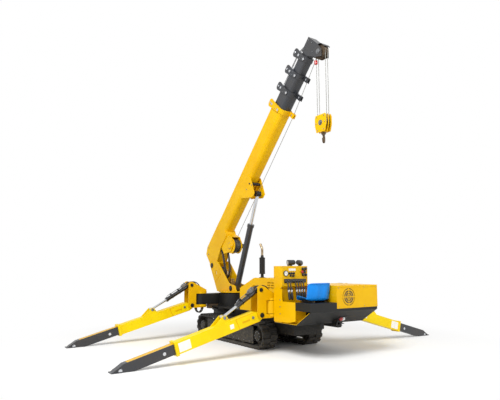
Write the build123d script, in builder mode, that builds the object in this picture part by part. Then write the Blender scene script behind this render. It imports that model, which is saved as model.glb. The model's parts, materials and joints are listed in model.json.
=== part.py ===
from build123d import *
import math
import os

os.makedirs("parts", exist_ok=True)

# Frame: millimetres, +X forward, +Y left, +Z up, the ground at Z = 0.

# Fits
RUN_GAP = 0.3          # between a pin, tube or rod and what it runs in
SIDE_GAP = 4.0         # between plates that swing or slide past each other
FACE_GAP = 0.5         # between flat faces that turn on each other

# Tracks
TRACK_MID_X = 331.0
WHEEL_SPAN = 1992.0    # between the end wheels' axles
AXLE_Z = 228.0
TRACK_Y = 515.0
TRACK_WIDTH = 300.0
BELT_THICK = 30.0
LUG_HEIGHT = 22.0
LUG_LENGTH = 58.0
LUG_ROOT = 3.0         # how far a lug is rooted in the belt
RUN_LUGS = 19          # lugs on a straight run
END_LUGS = 6           # lugs round an end
TRACK_BEAM_WIDTH = 140.0
TRACK_BEAM_HEIGHT = 150.0
WHEEL_WIDTH = 90.0
HUB_RADIUS = 92.0
HUB_WIDTH = 250.0
ROLLER_RADIUS = 62.0
ROLLER_WIDTH = 200.0
ROLLER_COUNT = 4
ROLLER_PITCH = 330.0
BELT_OUTER = AXLE_Z - LUG_HEIGHT
BELT_INNER = BELT_OUTER - BELT_THICK

# Chassis
FRAME_HALF_WIDTH = 300.0
FRAME_BOTTOM_Z = 270.0
DECK_BOTTOM_Z = 600.0
DECK_THICK = 20.0
DECK_HALF_WIDTH = 500.0
DECK_Z = DECK_BOTTOM_Z + DECK_THICK
BEAM_BOTTOM_Z = 660.0
BEAM_TOP_Z = 865.0
BEAM_WIDTH = 270.0     # along X, and the round of the beam's ends
RAIL_Y = 190.0          # rails behind the frame that carry the rear tub
RAIL_WIDTH = 80.0
RAIL_HEIGHT = 80.0
AXLE_TUBE_RADIUS = 60.0
AXLE_TUBE_SPAN = 1460.0
REAR_BEAM_X = -1128.0
FRONT_BEAM_X = 1354.0

# Slewing column
SLEW_X = 1135.0
SLEW_RING_RADIUS = 300.0
SLEW_RING_BORE = 220.0
SLEW_RING_THICK = 25.0
PEDESTAL_RADIUS = 330.0
COLUMN_BASE_RADIUS = 335.0
COLUMN_BASE_THICK = 20.0
COLUMN_PLATE = 25.0
COLUMN_FRONT_X = 1605.0    # the cheek's foot runs from front to rear
COLUMN_REAR_X = 805.0
COLUMN_HEEL_X = 925.0      # low rear end of the cheek beside the luffing cylinder's foot
COLUMN_THROAT_X = 1090.0
COLUMN_HEEL_Z = 1050.0
COLUMN_BACK_X = 1600.0     # head of the cheek round the boom's foot pin
COLUMN_NOSE_X = 1985.0
COLUMN_HEAD_Z = 1545.0
COLUMN_NOSE_ROUND = 60.0
COLUMN_BACK_ROUND = 120.0
COLUMN_THROAT_ROUND = 220.0
COLUMN_FRONT_TOP_Z = 1250.0
COLUMN_FRONT_PLATE = 16.0
COLUMN_SLOT_X = 1652.0
COLUMN_SLOT_Z = 1288.0
COLUMN_SLOT_LENGTH = 105.0
COLUMN_SLOT_WIDTH = 50.0
BOOM_FOOT_X = 1839.0
BOOM_FOOT_Z = 1453.0
FOOT_PIN_RADIUS = 35.0

# Boom, with T along it from the foot pin and V square to it
ELEVATION = 46.2
BOOM_WIDTH = 260.0
BOOM_TOP_V = 490.0
BOOM_BOTTOM_V = 125.0
BOOM_WALL = 8.0
SECTION_WALL = 6.0
TUBE_ROOT_T = 900.0
COLLAR_T = (3905.0, 4270.0, 4625.0, 4960.0)   # front faces, base to fourth section
HEAD_T = 5270.0
HEAD_SLEEVE_T = 4990.0     # where the head's sleeve starts on the last section
SECTION_STEP_WIDTH = 30.0
SECTION_STEP_HEIGHT = 42.0
SECTION_TAIL_STEP = 60.0
CORNER_RADIUS = 14.0
KEEL_RADIUS = 80.0         # round lower corners of the base tube
KEEL_STEP = 14.0           # how much smaller they are on each next tube
COLLAR_LENGTH = 90.0
COLLAR_RIM = 12.0
COLLAR_LUG_TOP_V = 605.0   # the lugs of all collars reach one line
COLLAR_LUG_RADIUS = 55.0
COLLAR_LUG_SPREAD = 25.0   # half the flat of a lug's top
COLLAR_LUG_MID = 55.0      # from a collar's front face back to its lugs' middle
COLLAR_LUG_PLATE = 12.0
COLLAR_PIN_RADIUS = 16.0
COLLAR_TAIL_RADIUS = 45.0
COLLAR_FOOT_COUNT = 3      # collars, from the base on, with a rope clevis underneath
COLLAR_FOOT_DROP = 135.0
COLLAR_FOOT_BACK = 70.0
COLLAR_FOOT_FRONT = 20.0
COLLAR_FOOT_INSET = 45.0
COLLAR_FOOT_ROOT = 30.0
COLLAR_ROLLER_RADIUS = 30.0
COLLAR_ROLLER_WIDTH = 30.0
WELD = 2.0                 # how far a welded plate is rooted in what carries it

# Boom neck, from the tube's root round the foot pin
NECK_OUTER = ((110.0, 490.0), (-42.0, 415.0), (-85.0, 20.0))   # corners as (T, V)
NECK_FOOT = ((-30.0, -85.0), (120.0, -85.0))
NECK_SHELF_T = (510.0, 850.0)
NECK_SHELF_V = 30.0        # level underside that carries the winch
NECK_PLATE = 16.0
NECK_RECESS = 22.0
NECK_RECESS_T = 160.0

# Luffing cylinder
LUFF_BASE_X = 1023.0
LUFF_BASE_Z = 972.0
LUFF_EYE_T = 2145.0
LUFF_EYE_V = -150.0
LUFF_EYE_RADIUS = 56.0
LUFF_EYE_WIDTH = 110.0
LUFF_BARREL_LENGTH = 1420.0
LUFF_BARREL_RADIUS = 62.0
LUFF_BARREL_WALL = 10.0
LUFF_ROD_RADIUS = 36.0
LUFF_ROD_LENGTH = 1370.0
LUFF_GLAND_LENGTH = 60.0
LUFF_GLAND_RADIUS = 72.0
LUFF_LUG_PLATE = 16.0
LUFF_LUG_BACK = 330.0      # reach of the lug's root and tip from the eye, down and up the boom
LUFF_LUG_FRONT = 190.0
LUFF_LUG_TIP_BACK = 60.0
LUFF_LUG_TIP_FRONT = 45.0
LUFF_LUG_DROP = 55.0
LUFF_LUG_ROOT = 60.0
EYE_NECK = 14.0        # from a barrel's base eye to its shell
EYE_NECK_SHARE = 0.85  # width of that neck against the eye
BARREL_END = 25.0
PISTON_LENGTH = 30.0

# Winch
DRUM_T = 790.0
DRUM_V = -220.0
DRUM_RADIUS = 128.0
DRUM_LENGTH = 190.0
DRUM_FLANGE_RADIUS = 165.0
DRUM_FLANGE = 10.0
DRUM_SHAFT_RADIUS = 30.0
WINCH_PLATE = 14.0
WINCH_ROOF = 12.0
# Winch cheek's corners as (T, V); the second and third carry the roof
WINCH_CHEEK = (
    (530.0, 60.0), (880.0, 60.0), (960.0, -125.0),
    (900.0, -300.0), (730.0, -330.0), (490.0, -150.0),
)

# Boom head, hoist rope and hook
SHEAVE_T = 5172.0
SHEAVE_V = -25.0
SHEAVE_RADIUS = 130.0
ROPE_PITCH_RADIUS = 116.0
SHEAVE_WIDTH = 36.0
SHEAVE_SPACING = 50.0
SHEAVE_PIN_RADIUS = 28.0
HEAD_PLATE = 14.0
HEAD_HALF_WIDTH = 92.0
HEAD_TUBE_SHORT = 150.0    # from the last tube's end to the head's end plate
HEAD_CHEEK_END = (5245.0, -67.0)    # low corners of the head's cheeks as (T, V)
HEAD_CHEEK_LOW = (5141.0, -159.0)
HEAD_CHEEK_HEEL = (5062.0, -20.0)
HEAD_END_PLATE = 18.0
HEAD_LIP_V = 95.0
GUARD_GAP = 7.0            # between the sheaves and the rope guard round them
GUARD_PLATE = 8.0
GUARD_SWEEP = (-20.0, 62.0)     # degrees from the boom's line
ROPE_RADIUS = 6.0
ROPE_GROOVE_GAP = 0.5
BLOCK_DROP = 1290.0    # from the head sheaves' axis to the block's
BLOCK_PLATE = 16.0
BLOCK_MID_PLATE = 10.0
BLOCK_HALF_WIDTH = 70.0
# Right half of the block's cheek as (X, Z) from its axis, top to bottom
BLOCK_CHEEK = ((119.0, 141.0), (140.0, 90.0), (140.0, -40.0), (105.0, -164.0))
BLOCK_SEAT = 40.0
BLOCK_SEAT_LENGTH = 120.0
BLOCK_PIN_PROUD = 12.0
HOOK_TURN = -50.0
HOOK_NECK = 22.0
HOOK_SHANK_RADIUS = 22.0
HOOK_BEND_RADIUS = 58.0
HOOK_STOCK = 21.0
SWIVEL_RADIUS = 40.0
SWIVEL_HEIGHT = 34.0

# Outriggers, each square to the machine with its foot on the ground
SWING_Y = 700.0        # upright pin at the beam's end
SWING_PIN_RADIUS = 45.0
PIVOT_Y = 936.0
PIVOT_Z = 641.0
PIVOT_PIN_RADIUS = 24.0
TOP_PIN_Y = 955.0
TOP_PIN_Z = 1045.0
FOOT_Y = 3328.0
BRACKET_PLATE = 16.0
BRACKET_HALF_WIDTH = 106.0
BRACKET_OUTER_Y = 1022.0
BRACKET_APEX_Z = 1120.0
BRACKET_BOTTOM_Z = 590.0
BRACKET_WEB_Y = 850.0
LIP_INNER_Y = 614.0
LIP_GAP = 8.0          # between the beam and the bracket's lips
LIP_THICK = 40.0
GUSSET_END_Z = 950.0
BRACKET_HEEL = 40.0        # corner cut at the bracket's low outer end
BRACKET_BROW = 30.0        # corner cut at its top
BRACKET_CROWN = 40.0       # flat of its top
BRACKET_WEB_RISE = 40.0
PIN_PROUD = 10.0
ARM_HEIGHT = 180.0
ARM_WIDTH = 150.0
ARM_LENGTH = 1560.0
ARM_COLLAR_LENGTH = 45.0
ARM_COLLAR_RIM = 14.0
ARM_HEEL = 30.0            # from the pivot back to the arm's end
ARM_HEEL_LOW = 50.0
ARM_HEEL_TOP = 30.0
ARM_BEVEL_LOW = 60.0
ARM_BEVEL_TOP = 110.0
ARM_SOLID_ROOT = 200.0
ARM_DOUBLER = 8.0
# Doubler's corners on the arm's side, as (reach, rise)
ARM_DOUBLER_OUTLINE = ((70.0, -82.0), (445.0, -82.0), (480.0, 82.0), (130.0, 82.0), (60.0, 48.0))
EXTENSION_HEIGHT = 150.0
EXTENSION_WIDTH = 120.0
EXTENSION_TAIL = 700.0
NOSE_SHORT = 20.0
NOSE_TOP = 25.0
NOSE_LOW = 20.0
FOOT_NOSE = 160.0
FOOT_PAD_WIDTH = 140.0
FOOT_PAD_LENGTH = 150.0
FOOT_PAD_THICK = 14.0
FOOT_PAD_SHIFT = 40.0
# Ankle block over the pad, as (Y from the foot's tip, Z)
ANKLE_OUTLINE = ((-100.0, 13.0), (10.0, 13.0), (-30.0, 45.0), (-110.0, 70.0))
LEG_LUG_PLATE = 14.0
LEG_LUG_BACK = 90.0
LEG_LUG_FRONT = 220.0
LEG_LUG_TIP = 30.0
LEG_LUG_RISE = 170.0   # rod pin above the arm's axis
LEG_EYE_RADIUS = 34.0
LEG_EYE_WIDTH = 92.0
LEG_BARREL_RADIUS = 40.0
LEG_BARREL_WALL = 7.0
LEG_ROD_RADIUS = 22.0
LEG_GLAND_LENGTH = 40.0
LEG_GLAND_RADIUS = 46.0
LEG_ROD_SHORT = 30.0   # how much shorter a rod is than its barrel

# Rear body
STERN_X = -2177.0
BODY_HALF_WIDTH = 729.0
BODY_FRONT_X = -1275.0
STERN_TOP_Z = 774.0
STERN_BEND_Z = 735.0
TUB_BOTTOM_X = -1835.0
TUB_BOTTOM_Z = 515.0
SHEET = 12.0
PLATFORM_BOTTOM_Z = 745.0
PLATFORM_TOP_Z = 867.0
PLATFORM_FRONT_X = -1833.0
BOX_LEFT_Y = 185.0
BOX_TOP_Z = 1126.0
BOX_WALL = 6.0
VENT_Y = -75.0
VENT_Z = 947.0
VENT_RADIUS = 135.0
VENT_RINGS = 4
VENT_SLOT = 13.0
VENT_BAND = 16.0
PANEL_TOP_Z = 1060.0
PANEL_LOW_Z = 545.0
PANEL_SWEEP_X = -1640.0    # where the left panel's low edge starts to rise
PANEL_SWEEP_Z = 580.0
PANEL_CONSOLE_X = -1490.0
PANEL_GAP = 8.0
PANEL_CORNER = 30.0
PANEL_HEEL = 45.0          # right panel's corner at the bottom of the stern
PANEL_HEEL_RISE = 8.0
PANEL_STERN_INSET = 15.0
FLOOR_SHEET = 6.0
FLOOR_TOP_SHARE = 0.07     # share of the stern's slope left bare above the foot-well's floor sheet
CONSOLE_RIGHT_Y = 196.0
CONSOLE_TOP_Z = 1430.0
CONSOLE_REAR_X = -1500.0
CONSOLE_KNEE_X = -1445.0
CONSOLE_KNEE_RISE = 45.0
LEVER_STEPS = (0, 1, 3, 4, 5, 6)   # places taken in the lever row, from the left
LEVER_FIRST_Y = 659.0
LEVER_PITCH = 54.0
LEVER_RADIUS = 8.0
LEVER_Z = 1185.0
LEVER_OUT = 62.0
LEVER_TIP_OUT = 92.0
LEVER_TIP_Z = 1005.0
LEVER_BEND = 30.0
GRIP_STATIONS = ((0.0, 10.0), (60.0, 17.0), (125.0, 12.0))   # run from the shaft's tip, radius
SEAT_MID_Y = 420.0
SEAT_WIDTH = 457.0
SEAT_FRONT_X = -1735.0
SEAT_BACK_X = -2085.0
SEAT_BASE_Z = 880.0
SEAT_TOP_Z = 1172.0
SEAT_ROUND = 70.0
SEAT_WING = 24.0
SEAT_FOOT_LENGTH = 150.0
SEAT_FOOT_WIDTH = 300.0
# Shell in side view, as (X from the back, Z from the base), from the pan's front lip round the back
SEAT_SHELL = (
    (350.0, 20.0), (350.0, 45.0), (95.0, 35.0), (45.0, 75.0), (5.0, 292.0),
    (-30.0, 292.0), (0.0, 40.0), (50.0, 0.0), (250.0, 0.0),
)
SEAT_SIDE = (
    (290.0, 30.0), (120.0, 85.0), (80.0, 130.0), (40.0, 232.0),
    (0.0, 272.0), (20.0, 50.0), (60.0, 20.0),
)
HOOD_REAR_X = -1270.0
HOOD_FRONT_X = 125.0
HOOD_SLOPE_X = -355.0
HOOD_SPLIT_Y = 60.0        # the left bay stands higher than the right one
HOOD_TOP_Z = 1220.0
HOOD_NOSE_Z = 1020.0
HOOD_LOW_TOP_Z = 1050.0
HOOD_LOW_NOSE_Z = 960.0
HOOD_WALL = 6.0
LOUVRE_X = -870.0
LOUVRE_PITCH_X = 110.0
LOUVRE_PITCH_Z = 43.0
LOUVRE_ROWS = 3
LOUVRE_LENGTH = 85.0
LOUVRE_HEIGHT = 14.0
LOUVRE_LEFT_Z = 1055.0
LOUVRE_RIGHT_Z = 890.0
ENGINE_X = -600.0
ENGINE_LENGTH = 600.0
ENGINE_WIDTH = 480.0
ENGINE_TOP_Z = 1020.0
EXHAUST_X = -405.0
EXHAUST_Y = 350.0
MUFFLER_BOTTOM_Z = 1287.0
MUFFLER_TOP_Z = 1589.0
MUFFLER_RADIUS = 52.0
TAILPIPE_RADIUS = 22.0
TAILPIPE_TOP_Z = 1840.0
TAILPIPE_BEND = 60.0
TAILPIPE_BEND_RISE = 85.0
HITCH_Y = -48.0
HITCH_HALF_WIDTH = 75.0
HITCH_LOW_Z = 478.0
HITCH_TOP_Z = 590.0
HITCH_PLATE = 14.0
HITCH_EYE_RADIUS = 22.0
HITCH_EYE_RISE = 40.0
HITCH_FIN_TOP_Z = 521.0
HITCH_FIN_BACK = 80.0

# Worked-out planes
LUFF_ANGLE = math.radians(ELEVATION)
ALONG = Vector(-math.cos(LUFF_ANGLE), 0, math.sin(LUFF_ANGLE))
SQUARE = Vector(math.sin(LUFF_ANGLE), 0, math.cos(LUFF_ANGLE))
FOOT = Vector(BOOM_FOOT_X, 0, BOOM_FOOT_Z)
BOOM_SIDE = Plane(origin=FOOT, x_dir=ALONG, z_dir=(0, 1, 0))
BOOM_MID_V = (BOOM_TOP_V + BOOM_BOTTOM_V) / 2
BOOM_HEIGHT = BOOM_TOP_V - BOOM_BOTTOM_V
COLUMN_Y = BOOM_WIDTH / 2 + SIDE_GAP + COLUMN_PLATE / 2
RING_TOP_Z = BEAM_TOP_Z + SLEW_RING_THICK
COLUMN_FLOOR_Z = RING_TOP_Z + FACE_GAP + COLUMN_BASE_THICK
SIDE_VIEW = Plane(origin=(0, 0, 0), x_dir=(1, 0, 0), z_dir=(0, -1, 0))


def boom_point(t, v):
    """World point at T along the boom and V square to it, on the middle plane."""
    return FOOT + ALONG * t + SQUARE * v


def across_boom(t):
    """Plane square to the boom at T: local x runs along Y, local z up the boom."""
    return Plane(origin=boom_point(t, BOOM_MID_V), x_dir=(0, 1, 0), z_dir=ALONG)


def profile(plane, *points):
    """Closed straight-sided outline on a plane."""
    with BuildSketch(plane) as sketch:
        with BuildLine():
            Polyline(*points, close=True)
        make_face()
    return sketch.sketch


def rounded(plane, *corners):
    """Closed outline on a plane with corners given as (x, y, radius)."""
    with BuildSketch(plane) as sketch:
        with BuildLine():
            Polyline(*[(x, y) for x, y, _ in corners], close=True)
        make_face()
        for x, y, radius in corners:
            if radius > 0:
                fillet(sketch.vertices().sort_by_distance((x, y))[0], radius)
    return sketch.sketch


def link(plane, *discs):
    """Outline drawn tight round discs given as (x, y, radius)."""
    with BuildSketch(plane) as sketch:
        for x, y, radius in discs:
            with Locations((x, y)):
                Circle(radius)
        make_hull()
    return sketch.sketch


def save(piece, label):
    """Labels a finished piece and writes it."""
    piece.part.label = label
    export_step(piece.part, f"parts/{label}.step")


# Tracks: a belt with two rows of staggered lugs
def lug_row(plane, run_steps, end_steps):
    """Belt outline with lugs at the given steps along the runs and round the ends."""
    run_pitch = WHEEL_SPAN / RUN_LUGS
    end_pitch = math.pi / END_LUGS
    lug_mid = BELT_OUTER + (LUG_HEIGHT - LUG_ROOT) / 2
    lug_tall = LUG_HEIGHT + LUG_ROOT
    with BuildSketch(plane) as sketch:
        SlotCenterToCenter(WHEEL_SPAN, 2 * BELT_OUTER)
        for step in run_steps:
            x = (step - RUN_LUGS / 2) * run_pitch
            with Locations((x, lug_mid), (x, -lug_mid)):
                Rectangle(LUG_LENGTH, lug_tall)
        for end in (1, -1):
            for step in end_steps:
                angle = step * end_pitch - math.pi / 2
                x = end * (WHEEL_SPAN / 2 + lug_mid * math.cos(angle))
                z = lug_mid * math.sin(angle)
                with Locations(Location((x, z, 0), (0, 0, end * math.degrees(angle)))):
                    Rectangle(lug_tall, LUG_LENGTH)
        SlotCenterToCenter(WHEEL_SPAN, 2 * BELT_INNER, mode=Mode.SUBTRACT)
    return sketch.sketch


HALF_STEPS = [k + 0.5 for k in range(RUN_LUGS)]
WHOLE_STEPS = list(range(1, RUN_LUGS))
END_HALF_STEPS = [k + 0.5 for k in range(END_LUGS)]
END_WHOLE_STEPS = list(range(END_LUGS + 1))

for side, hand in ((1, "left"), (-1, "right")):
    mid_y = side * TRACK_Y
    outer = Plane(origin=(TRACK_MID_X, mid_y, AXLE_Z), x_dir=(1, 0, 0), z_dir=(0, side, 0))
    inner = Plane(origin=(TRACK_MID_X, mid_y, AXLE_Z), x_dir=(1, 0, 0), z_dir=(0, -side, 0))
    with BuildPart() as track:
        extrude(lug_row(outer, HALF_STEPS, END_HALF_STEPS), amount=TRACK_WIDTH / 2)
        extrude(lug_row(inner, WHOLE_STEPS, END_WHOLE_STEPS), amount=TRACK_WIDTH / 2)
    save(track, f"track_{hand}")

    wheel_radius = BELT_INNER - RUN_GAP
    roller_z = AXLE_Z - BELT_INNER + RUN_GAP + ROLLER_RADIUS
    with BuildPart() as track_frame:
        with Locations((TRACK_MID_X, mid_y, AXLE_Z)):
            Box(WHEEL_SPAN - wheel_radius, TRACK_BEAM_WIDTH, TRACK_BEAM_HEIGHT)
            with GridLocations(WHEEL_SPAN, 1, 2, 1):
                Cylinder(wheel_radius, WHEEL_WIDTH, rotation=(90, 0, 0))
                Cylinder(HUB_RADIUS, HUB_WIDTH, rotation=(90, 0, 0))
        with Locations((TRACK_MID_X, mid_y, roller_z)):
            with GridLocations(ROLLER_PITCH, 1, ROLLER_COUNT, 1):
                Cylinder(ROLLER_RADIUS, ROLLER_WIDTH, rotation=(90, 0, 0))
    save(track_frame, f"track_frame_{hand}")

# Chassis: centre box, deck plate, front cross beam with round ends, pedestal under the column
FRAME_REAR_X = REAR_BEAM_X - BEAM_WIDTH / 2
FRAME_FRONT_X = FRONT_BEAM_X + BEAM_WIDTH / 2
with BuildPart() as chassis:
    with BuildSketch(Plane.XY.offset(FRAME_BOTTOM_Z)):
        with Locations(((FRAME_REAR_X + FRAME_FRONT_X) / 2, 0)):
            Rectangle(FRAME_FRONT_X - FRAME_REAR_X, 2 * FRAME_HALF_WIDTH)
    extrude(amount=DECK_BOTTOM_Z - FRAME_BOTTOM_Z)
    with BuildSketch(Plane.XY.offset(DECK_BOTTOM_Z)):
        with Locations(((FRAME_REAR_X + FRAME_FRONT_X) / 2, 0)):
            Rectangle(FRAME_FRONT_X - FRAME_REAR_X, 2 * DECK_HALF_WIDTH)
    extrude(amount=DECK_THICK)
    with BuildSketch(Plane.XY.offset(DECK_Z)):
        with Locations((REAR_BEAM_X, 0), (FRONT_BEAM_X, 0)):
            Rectangle(BEAM_WIDTH, 2 * FRAME_HALF_WIDTH)
    extrude(amount=BEAM_BOTTOM_Z - DECK_Z)
    with BuildSketch(Plane.XY.offset(BEAM_BOTTOM_Z)):
        with Locations((FRONT_BEAM_X, 0)):
            SlotCenterToCenter(2 * SWING_Y, BEAM_WIDTH, rotation=90)
    extrude(amount=BEAM_TOP_Z - BEAM_BOTTOM_Z)
    with BuildSketch(Plane.XY.offset(DECK_Z)):
        with Locations((SLEW_X, 0)):
            Circle(PEDESTAL_RADIUS)
    extrude(amount=BEAM_TOP_Z - DECK_Z)
    with BuildSketch(Plane.XY.offset(TUB_BOTTOM_Z - RAIL_HEIGHT)):
        with Locations(((TUB_BOTTOM_X + FRAME_REAR_X) / 2, 0)):
            with GridLocations(1, 2 * RAIL_Y, 1, 2):
                Rectangle(FRAME_REAR_X - TUB_BOTTOM_X, RAIL_WIDTH)
    extrude(amount=RAIL_HEIGHT)
    with Locations((TRACK_MID_X, 0, AXLE_Z)):
        with GridLocations(AXLE_TUBE_SPAN, 1, 2, 1):
            Cylinder(AXLE_TUBE_RADIUS, 2 * (TRACK_Y - TRACK_BEAM_WIDTH / 2), rotation=(90, 0, 0))
            with Locations((0, 0, (FRAME_BOTTOM_Z - AXLE_Z) / 2)):
                Box(2 * AXLE_TUBE_RADIUS, 2 * FRAME_HALF_WIDTH, FRAME_BOTTOM_Z - AXLE_Z)
    with BuildSketch(Plane.XY.offset(BEAM_BOTTOM_Z)):
        with Locations((FRONT_BEAM_X, SWING_Y), (FRONT_BEAM_X, -SWING_Y)):
            Circle(SWING_PIN_RADIUS + RUN_GAP)
    extrude(amount=BEAM_TOP_Z - BEAM_BOTTOM_Z, mode=Mode.SUBTRACT)
save(chassis, "chassis_frame")

# Rear cross beam on its block, with round ends and the swing pins' bores
with BuildPart() as rear_beam:
    with BuildSketch(Plane.XY.offset(BEAM_BOTTOM_Z)):
        with Locations((REAR_BEAM_X, 0)):
            SlotCenterToCenter(2 * SWING_Y, BEAM_WIDTH, rotation=90)
        with Locations((REAR_BEAM_X, SWING_Y), (REAR_BEAM_X, -SWING_Y)):
            Circle(SWING_PIN_RADIUS + RUN_GAP, mode=Mode.SUBTRACT)
    extrude(amount=BEAM_TOP_Z - BEAM_BOTTOM_Z)
save(rear_beam, "rear_beam")

with BuildPart() as slew_ring:
    with BuildSketch(Plane.XY.offset(BEAM_TOP_Z)):
        with Locations((SLEW_X, 0)):
            Circle(SLEW_RING_RADIUS)
            Circle(SLEW_RING_BORE, mode=Mode.SUBTRACT)
    extrude(amount=SLEW_RING_THICK)
save(slew_ring, "slew_ring")

# Column: round base and two leaning cheek plates that hold the boom's foot pin
COLUMN_OUTLINE = (
    (COLUMN_FRONT_X, COLUMN_FLOOR_Z, 0),
    (COLUMN_NOSE_X, COLUMN_HEAD_Z, COLUMN_NOSE_ROUND),
    (COLUMN_BACK_X, COLUMN_HEAD_Z, COLUMN_BACK_ROUND),
    (COLUMN_THROAT_X, COLUMN_HEEL_Z, COLUMN_THROAT_ROUND),
    (COLUMN_HEEL_X, COLUMN_HEEL_Z, COLUMN_NOSE_ROUND),
    (COLUMN_REAR_X, COLUMN_FLOOR_Z, 0),
)
COLUMN_LEAN = (COLUMN_NOSE_X - COLUMN_FRONT_X) / (COLUMN_HEAD_Z - COLUMN_FLOOR_Z)
COLUMN_FRONT_TOP_X = COLUMN_FRONT_X + COLUMN_LEAN * (COLUMN_FRONT_TOP_Z - COLUMN_FLOOR_Z)
LUFF_FOOT_Y = LUFF_EYE_WIDTH / 2 + SIDE_GAP + COLUMN_PLATE / 2
with BuildPart() as column:
    with BuildSketch(Plane.XY.offset(RING_TOP_Z + FACE_GAP)):
        with Locations((SLEW_X, 0)):
            Circle(COLUMN_BASE_RADIUS)
        with Locations(((COLUMN_FRONT_X + COLUMN_REAR_X) / 2, 0)):
            Rectangle(COLUMN_FRONT_X - COLUMN_REAR_X, 2 * COLUMN_Y + COLUMN_PLATE)
    extrude(amount=COLUMN_BASE_THICK)
    front = profile(
        SIDE_VIEW,
        (COLUMN_FRONT_X, COLUMN_FLOOR_Z),
        (COLUMN_FRONT_TOP_X, COLUMN_FRONT_TOP_Z),
        (COLUMN_FRONT_TOP_X - COLUMN_FRONT_PLATE, COLUMN_FRONT_TOP_Z),
        (COLUMN_FRONT_X - COLUMN_FRONT_PLATE, COLUMN_FLOOR_Z),
    )
    extrude(front, amount=COLUMN_Y, both=True)
    for side in (1, -1):
        cheek = SIDE_VIEW.offset(-side * COLUMN_Y)
        extrude(rounded(cheek, *COLUMN_OUTLINE), amount=COLUMN_PLATE / 2, both=True)
        with BuildSketch(cheek):
            with Locations((COLUMN_SLOT_X, COLUMN_SLOT_Z)):
                SlotOverall(COLUMN_SLOT_LENGTH, COLUMN_SLOT_WIDTH, rotation=90)
        extrude(amount=COLUMN_PLATE, both=True, mode=Mode.SUBTRACT)
        with Locations((LUFF_BASE_X, side * LUFF_FOOT_Y, LUFF_BASE_Z)):
            Cylinder(LUFF_EYE_RADIUS, COLUMN_PLATE, rotation=(90, 0, 0))
        with Locations((LUFF_BASE_X, side * LUFF_FOOT_Y, (LUFF_BASE_Z + COLUMN_FLOOR_Z) / 2)):
            Box(2 * LUFF_EYE_RADIUS, COLUMN_PLATE, LUFF_BASE_Z - COLUMN_FLOOR_Z)
    for x, z in ((BOOM_FOOT_X, BOOM_FOOT_Z), (LUFF_BASE_X, LUFF_BASE_Z)):
        with Locations((x, 0, z)):
            Cylinder(FOOT_PIN_RADIUS, 2 * COLUMN_Y + COLUMN_PLATE, rotation=(90, 0, 0))
save(column, "column")

# Boom sections: box tubes with round lower corners that nest, each ending in a collar round the next
SECTION_COUNT = len(COLLAR_T) + 1
SECTION_WIDTH = [BOOM_WIDTH - k * SECTION_STEP_WIDTH for k in range(SECTION_COUNT)]
SECTION_HEIGHT = [BOOM_HEIGHT - k * SECTION_STEP_HEIGHT for k in range(SECTION_COUNT)]
SECTION_KEEL = [KEEL_RADIUS - k * KEEL_STEP for k in range(SECTION_COUNT)]
NECK_SLOPE = (NECK_SHELF_V - NECK_FOOT[1][1]) / (NECK_SHELF_T[0] - NECK_FOOT[1][0])


def box_section(t, index, grow):
    """Tube outline square to the boom at T, its sides moved out by grow."""
    with BuildSketch(across_boom(t)) as sketch:
        Rectangle(SECTION_WIDTH[index] + 2 * grow, SECTION_HEIGHT[index] + 2 * grow)
        fillet(sketch.vertices().sort_by(Axis.Y)[:2], CORNER_RADIUS + grow)
        fillet(sketch.vertices().sort_by(Axis.Y)[-2:], SECTION_KEEL[index] + grow)
    return sketch.sketch


def add_collar(index):
    """Adds a section's collar: a rim and two cheek plates with lugs tied by a pin."""
    end = COLLAR_T[index]
    rim_half = SECTION_WIDTH[index] / 2 + COLLAR_RIM
    low = BOOM_MID_V - SECTION_HEIGHT[index] / 2
    mid_t = end - COLLAR_LUG_MID
    lug_v = COLLAR_LUG_TOP_V - COLLAR_LUG_RADIUS
    lug_y = rim_half + COLLAR_LUG_PLATE / 2 - WELD
    extrude(box_section(end - COLLAR_LENGTH, index, COLLAR_RIM), amount=COLLAR_LENGTH)
    for side in (1, -1):
        plate = link(
            BOOM_SIDE.offset(side * lug_y),
            (mid_t - COLLAR_LUG_SPREAD, lug_v, COLLAR_LUG_RADIUS),
            (mid_t + COLLAR_LUG_SPREAD, lug_v, COLLAR_LUG_RADIUS),
            (mid_t, low + SECTION_KEEL[index] + COLLAR_TAIL_RADIUS, COLLAR_TAIL_RADIUS),
        )
        extrude(plate, amount=COLLAR_LUG_PLATE / 2, both=True)
    extrude(link(BOOM_SIDE, (mid_t, lug_v, COLLAR_PIN_RADIUS)), amount=lug_y, both=True)


def add_clevis(index):
    """Adds the clevis under a collar with the roller that carries the hoist rope."""
    end = COLLAR_T[index]
    rim_low = BOOM_MID_V - SECTION_HEIGHT[index] / 2 - COLLAR_RIM
    foot_low = rim_low - COLLAR_FOOT_DROP
    foot_top = rim_low + COLLAR_FOOT_ROOT
    foot_mid = BOOM_SIDE.offset(COLLAR_FOOT_INSET - SECTION_WIDTH[index] / 2)
    for side in (1, -1):
        ear = profile(
            foot_mid.offset(side * (COLLAR_ROLLER_WIDTH + COLLAR_LUG_PLATE) / 2),
            (end, foot_top),
            (end - COLLAR_FOOT_BACK, foot_top),
            (end - COLLAR_FOOT_BACK, foot_low),
            (end + COLLAR_FOOT_FRONT, foot_low),
            (end + COLLAR_FOOT_FRONT, foot_low + COLLAR_FOOT_BACK),
        )
        extrude(ear, amount=COLLAR_LUG_PLATE / 2, both=True)
    roller_t = end - (COLLAR_FOOT_BACK - COLLAR_FOOT_FRONT) / 2
    roller = link(foot_mid, (roller_t, foot_low + COLLAR_FOOT_BACK, COLLAR_ROLLER_RADIUS))
    extrude(roller, amount=COLLAR_ROLLER_WIDTH / 2, both=True)


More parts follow.
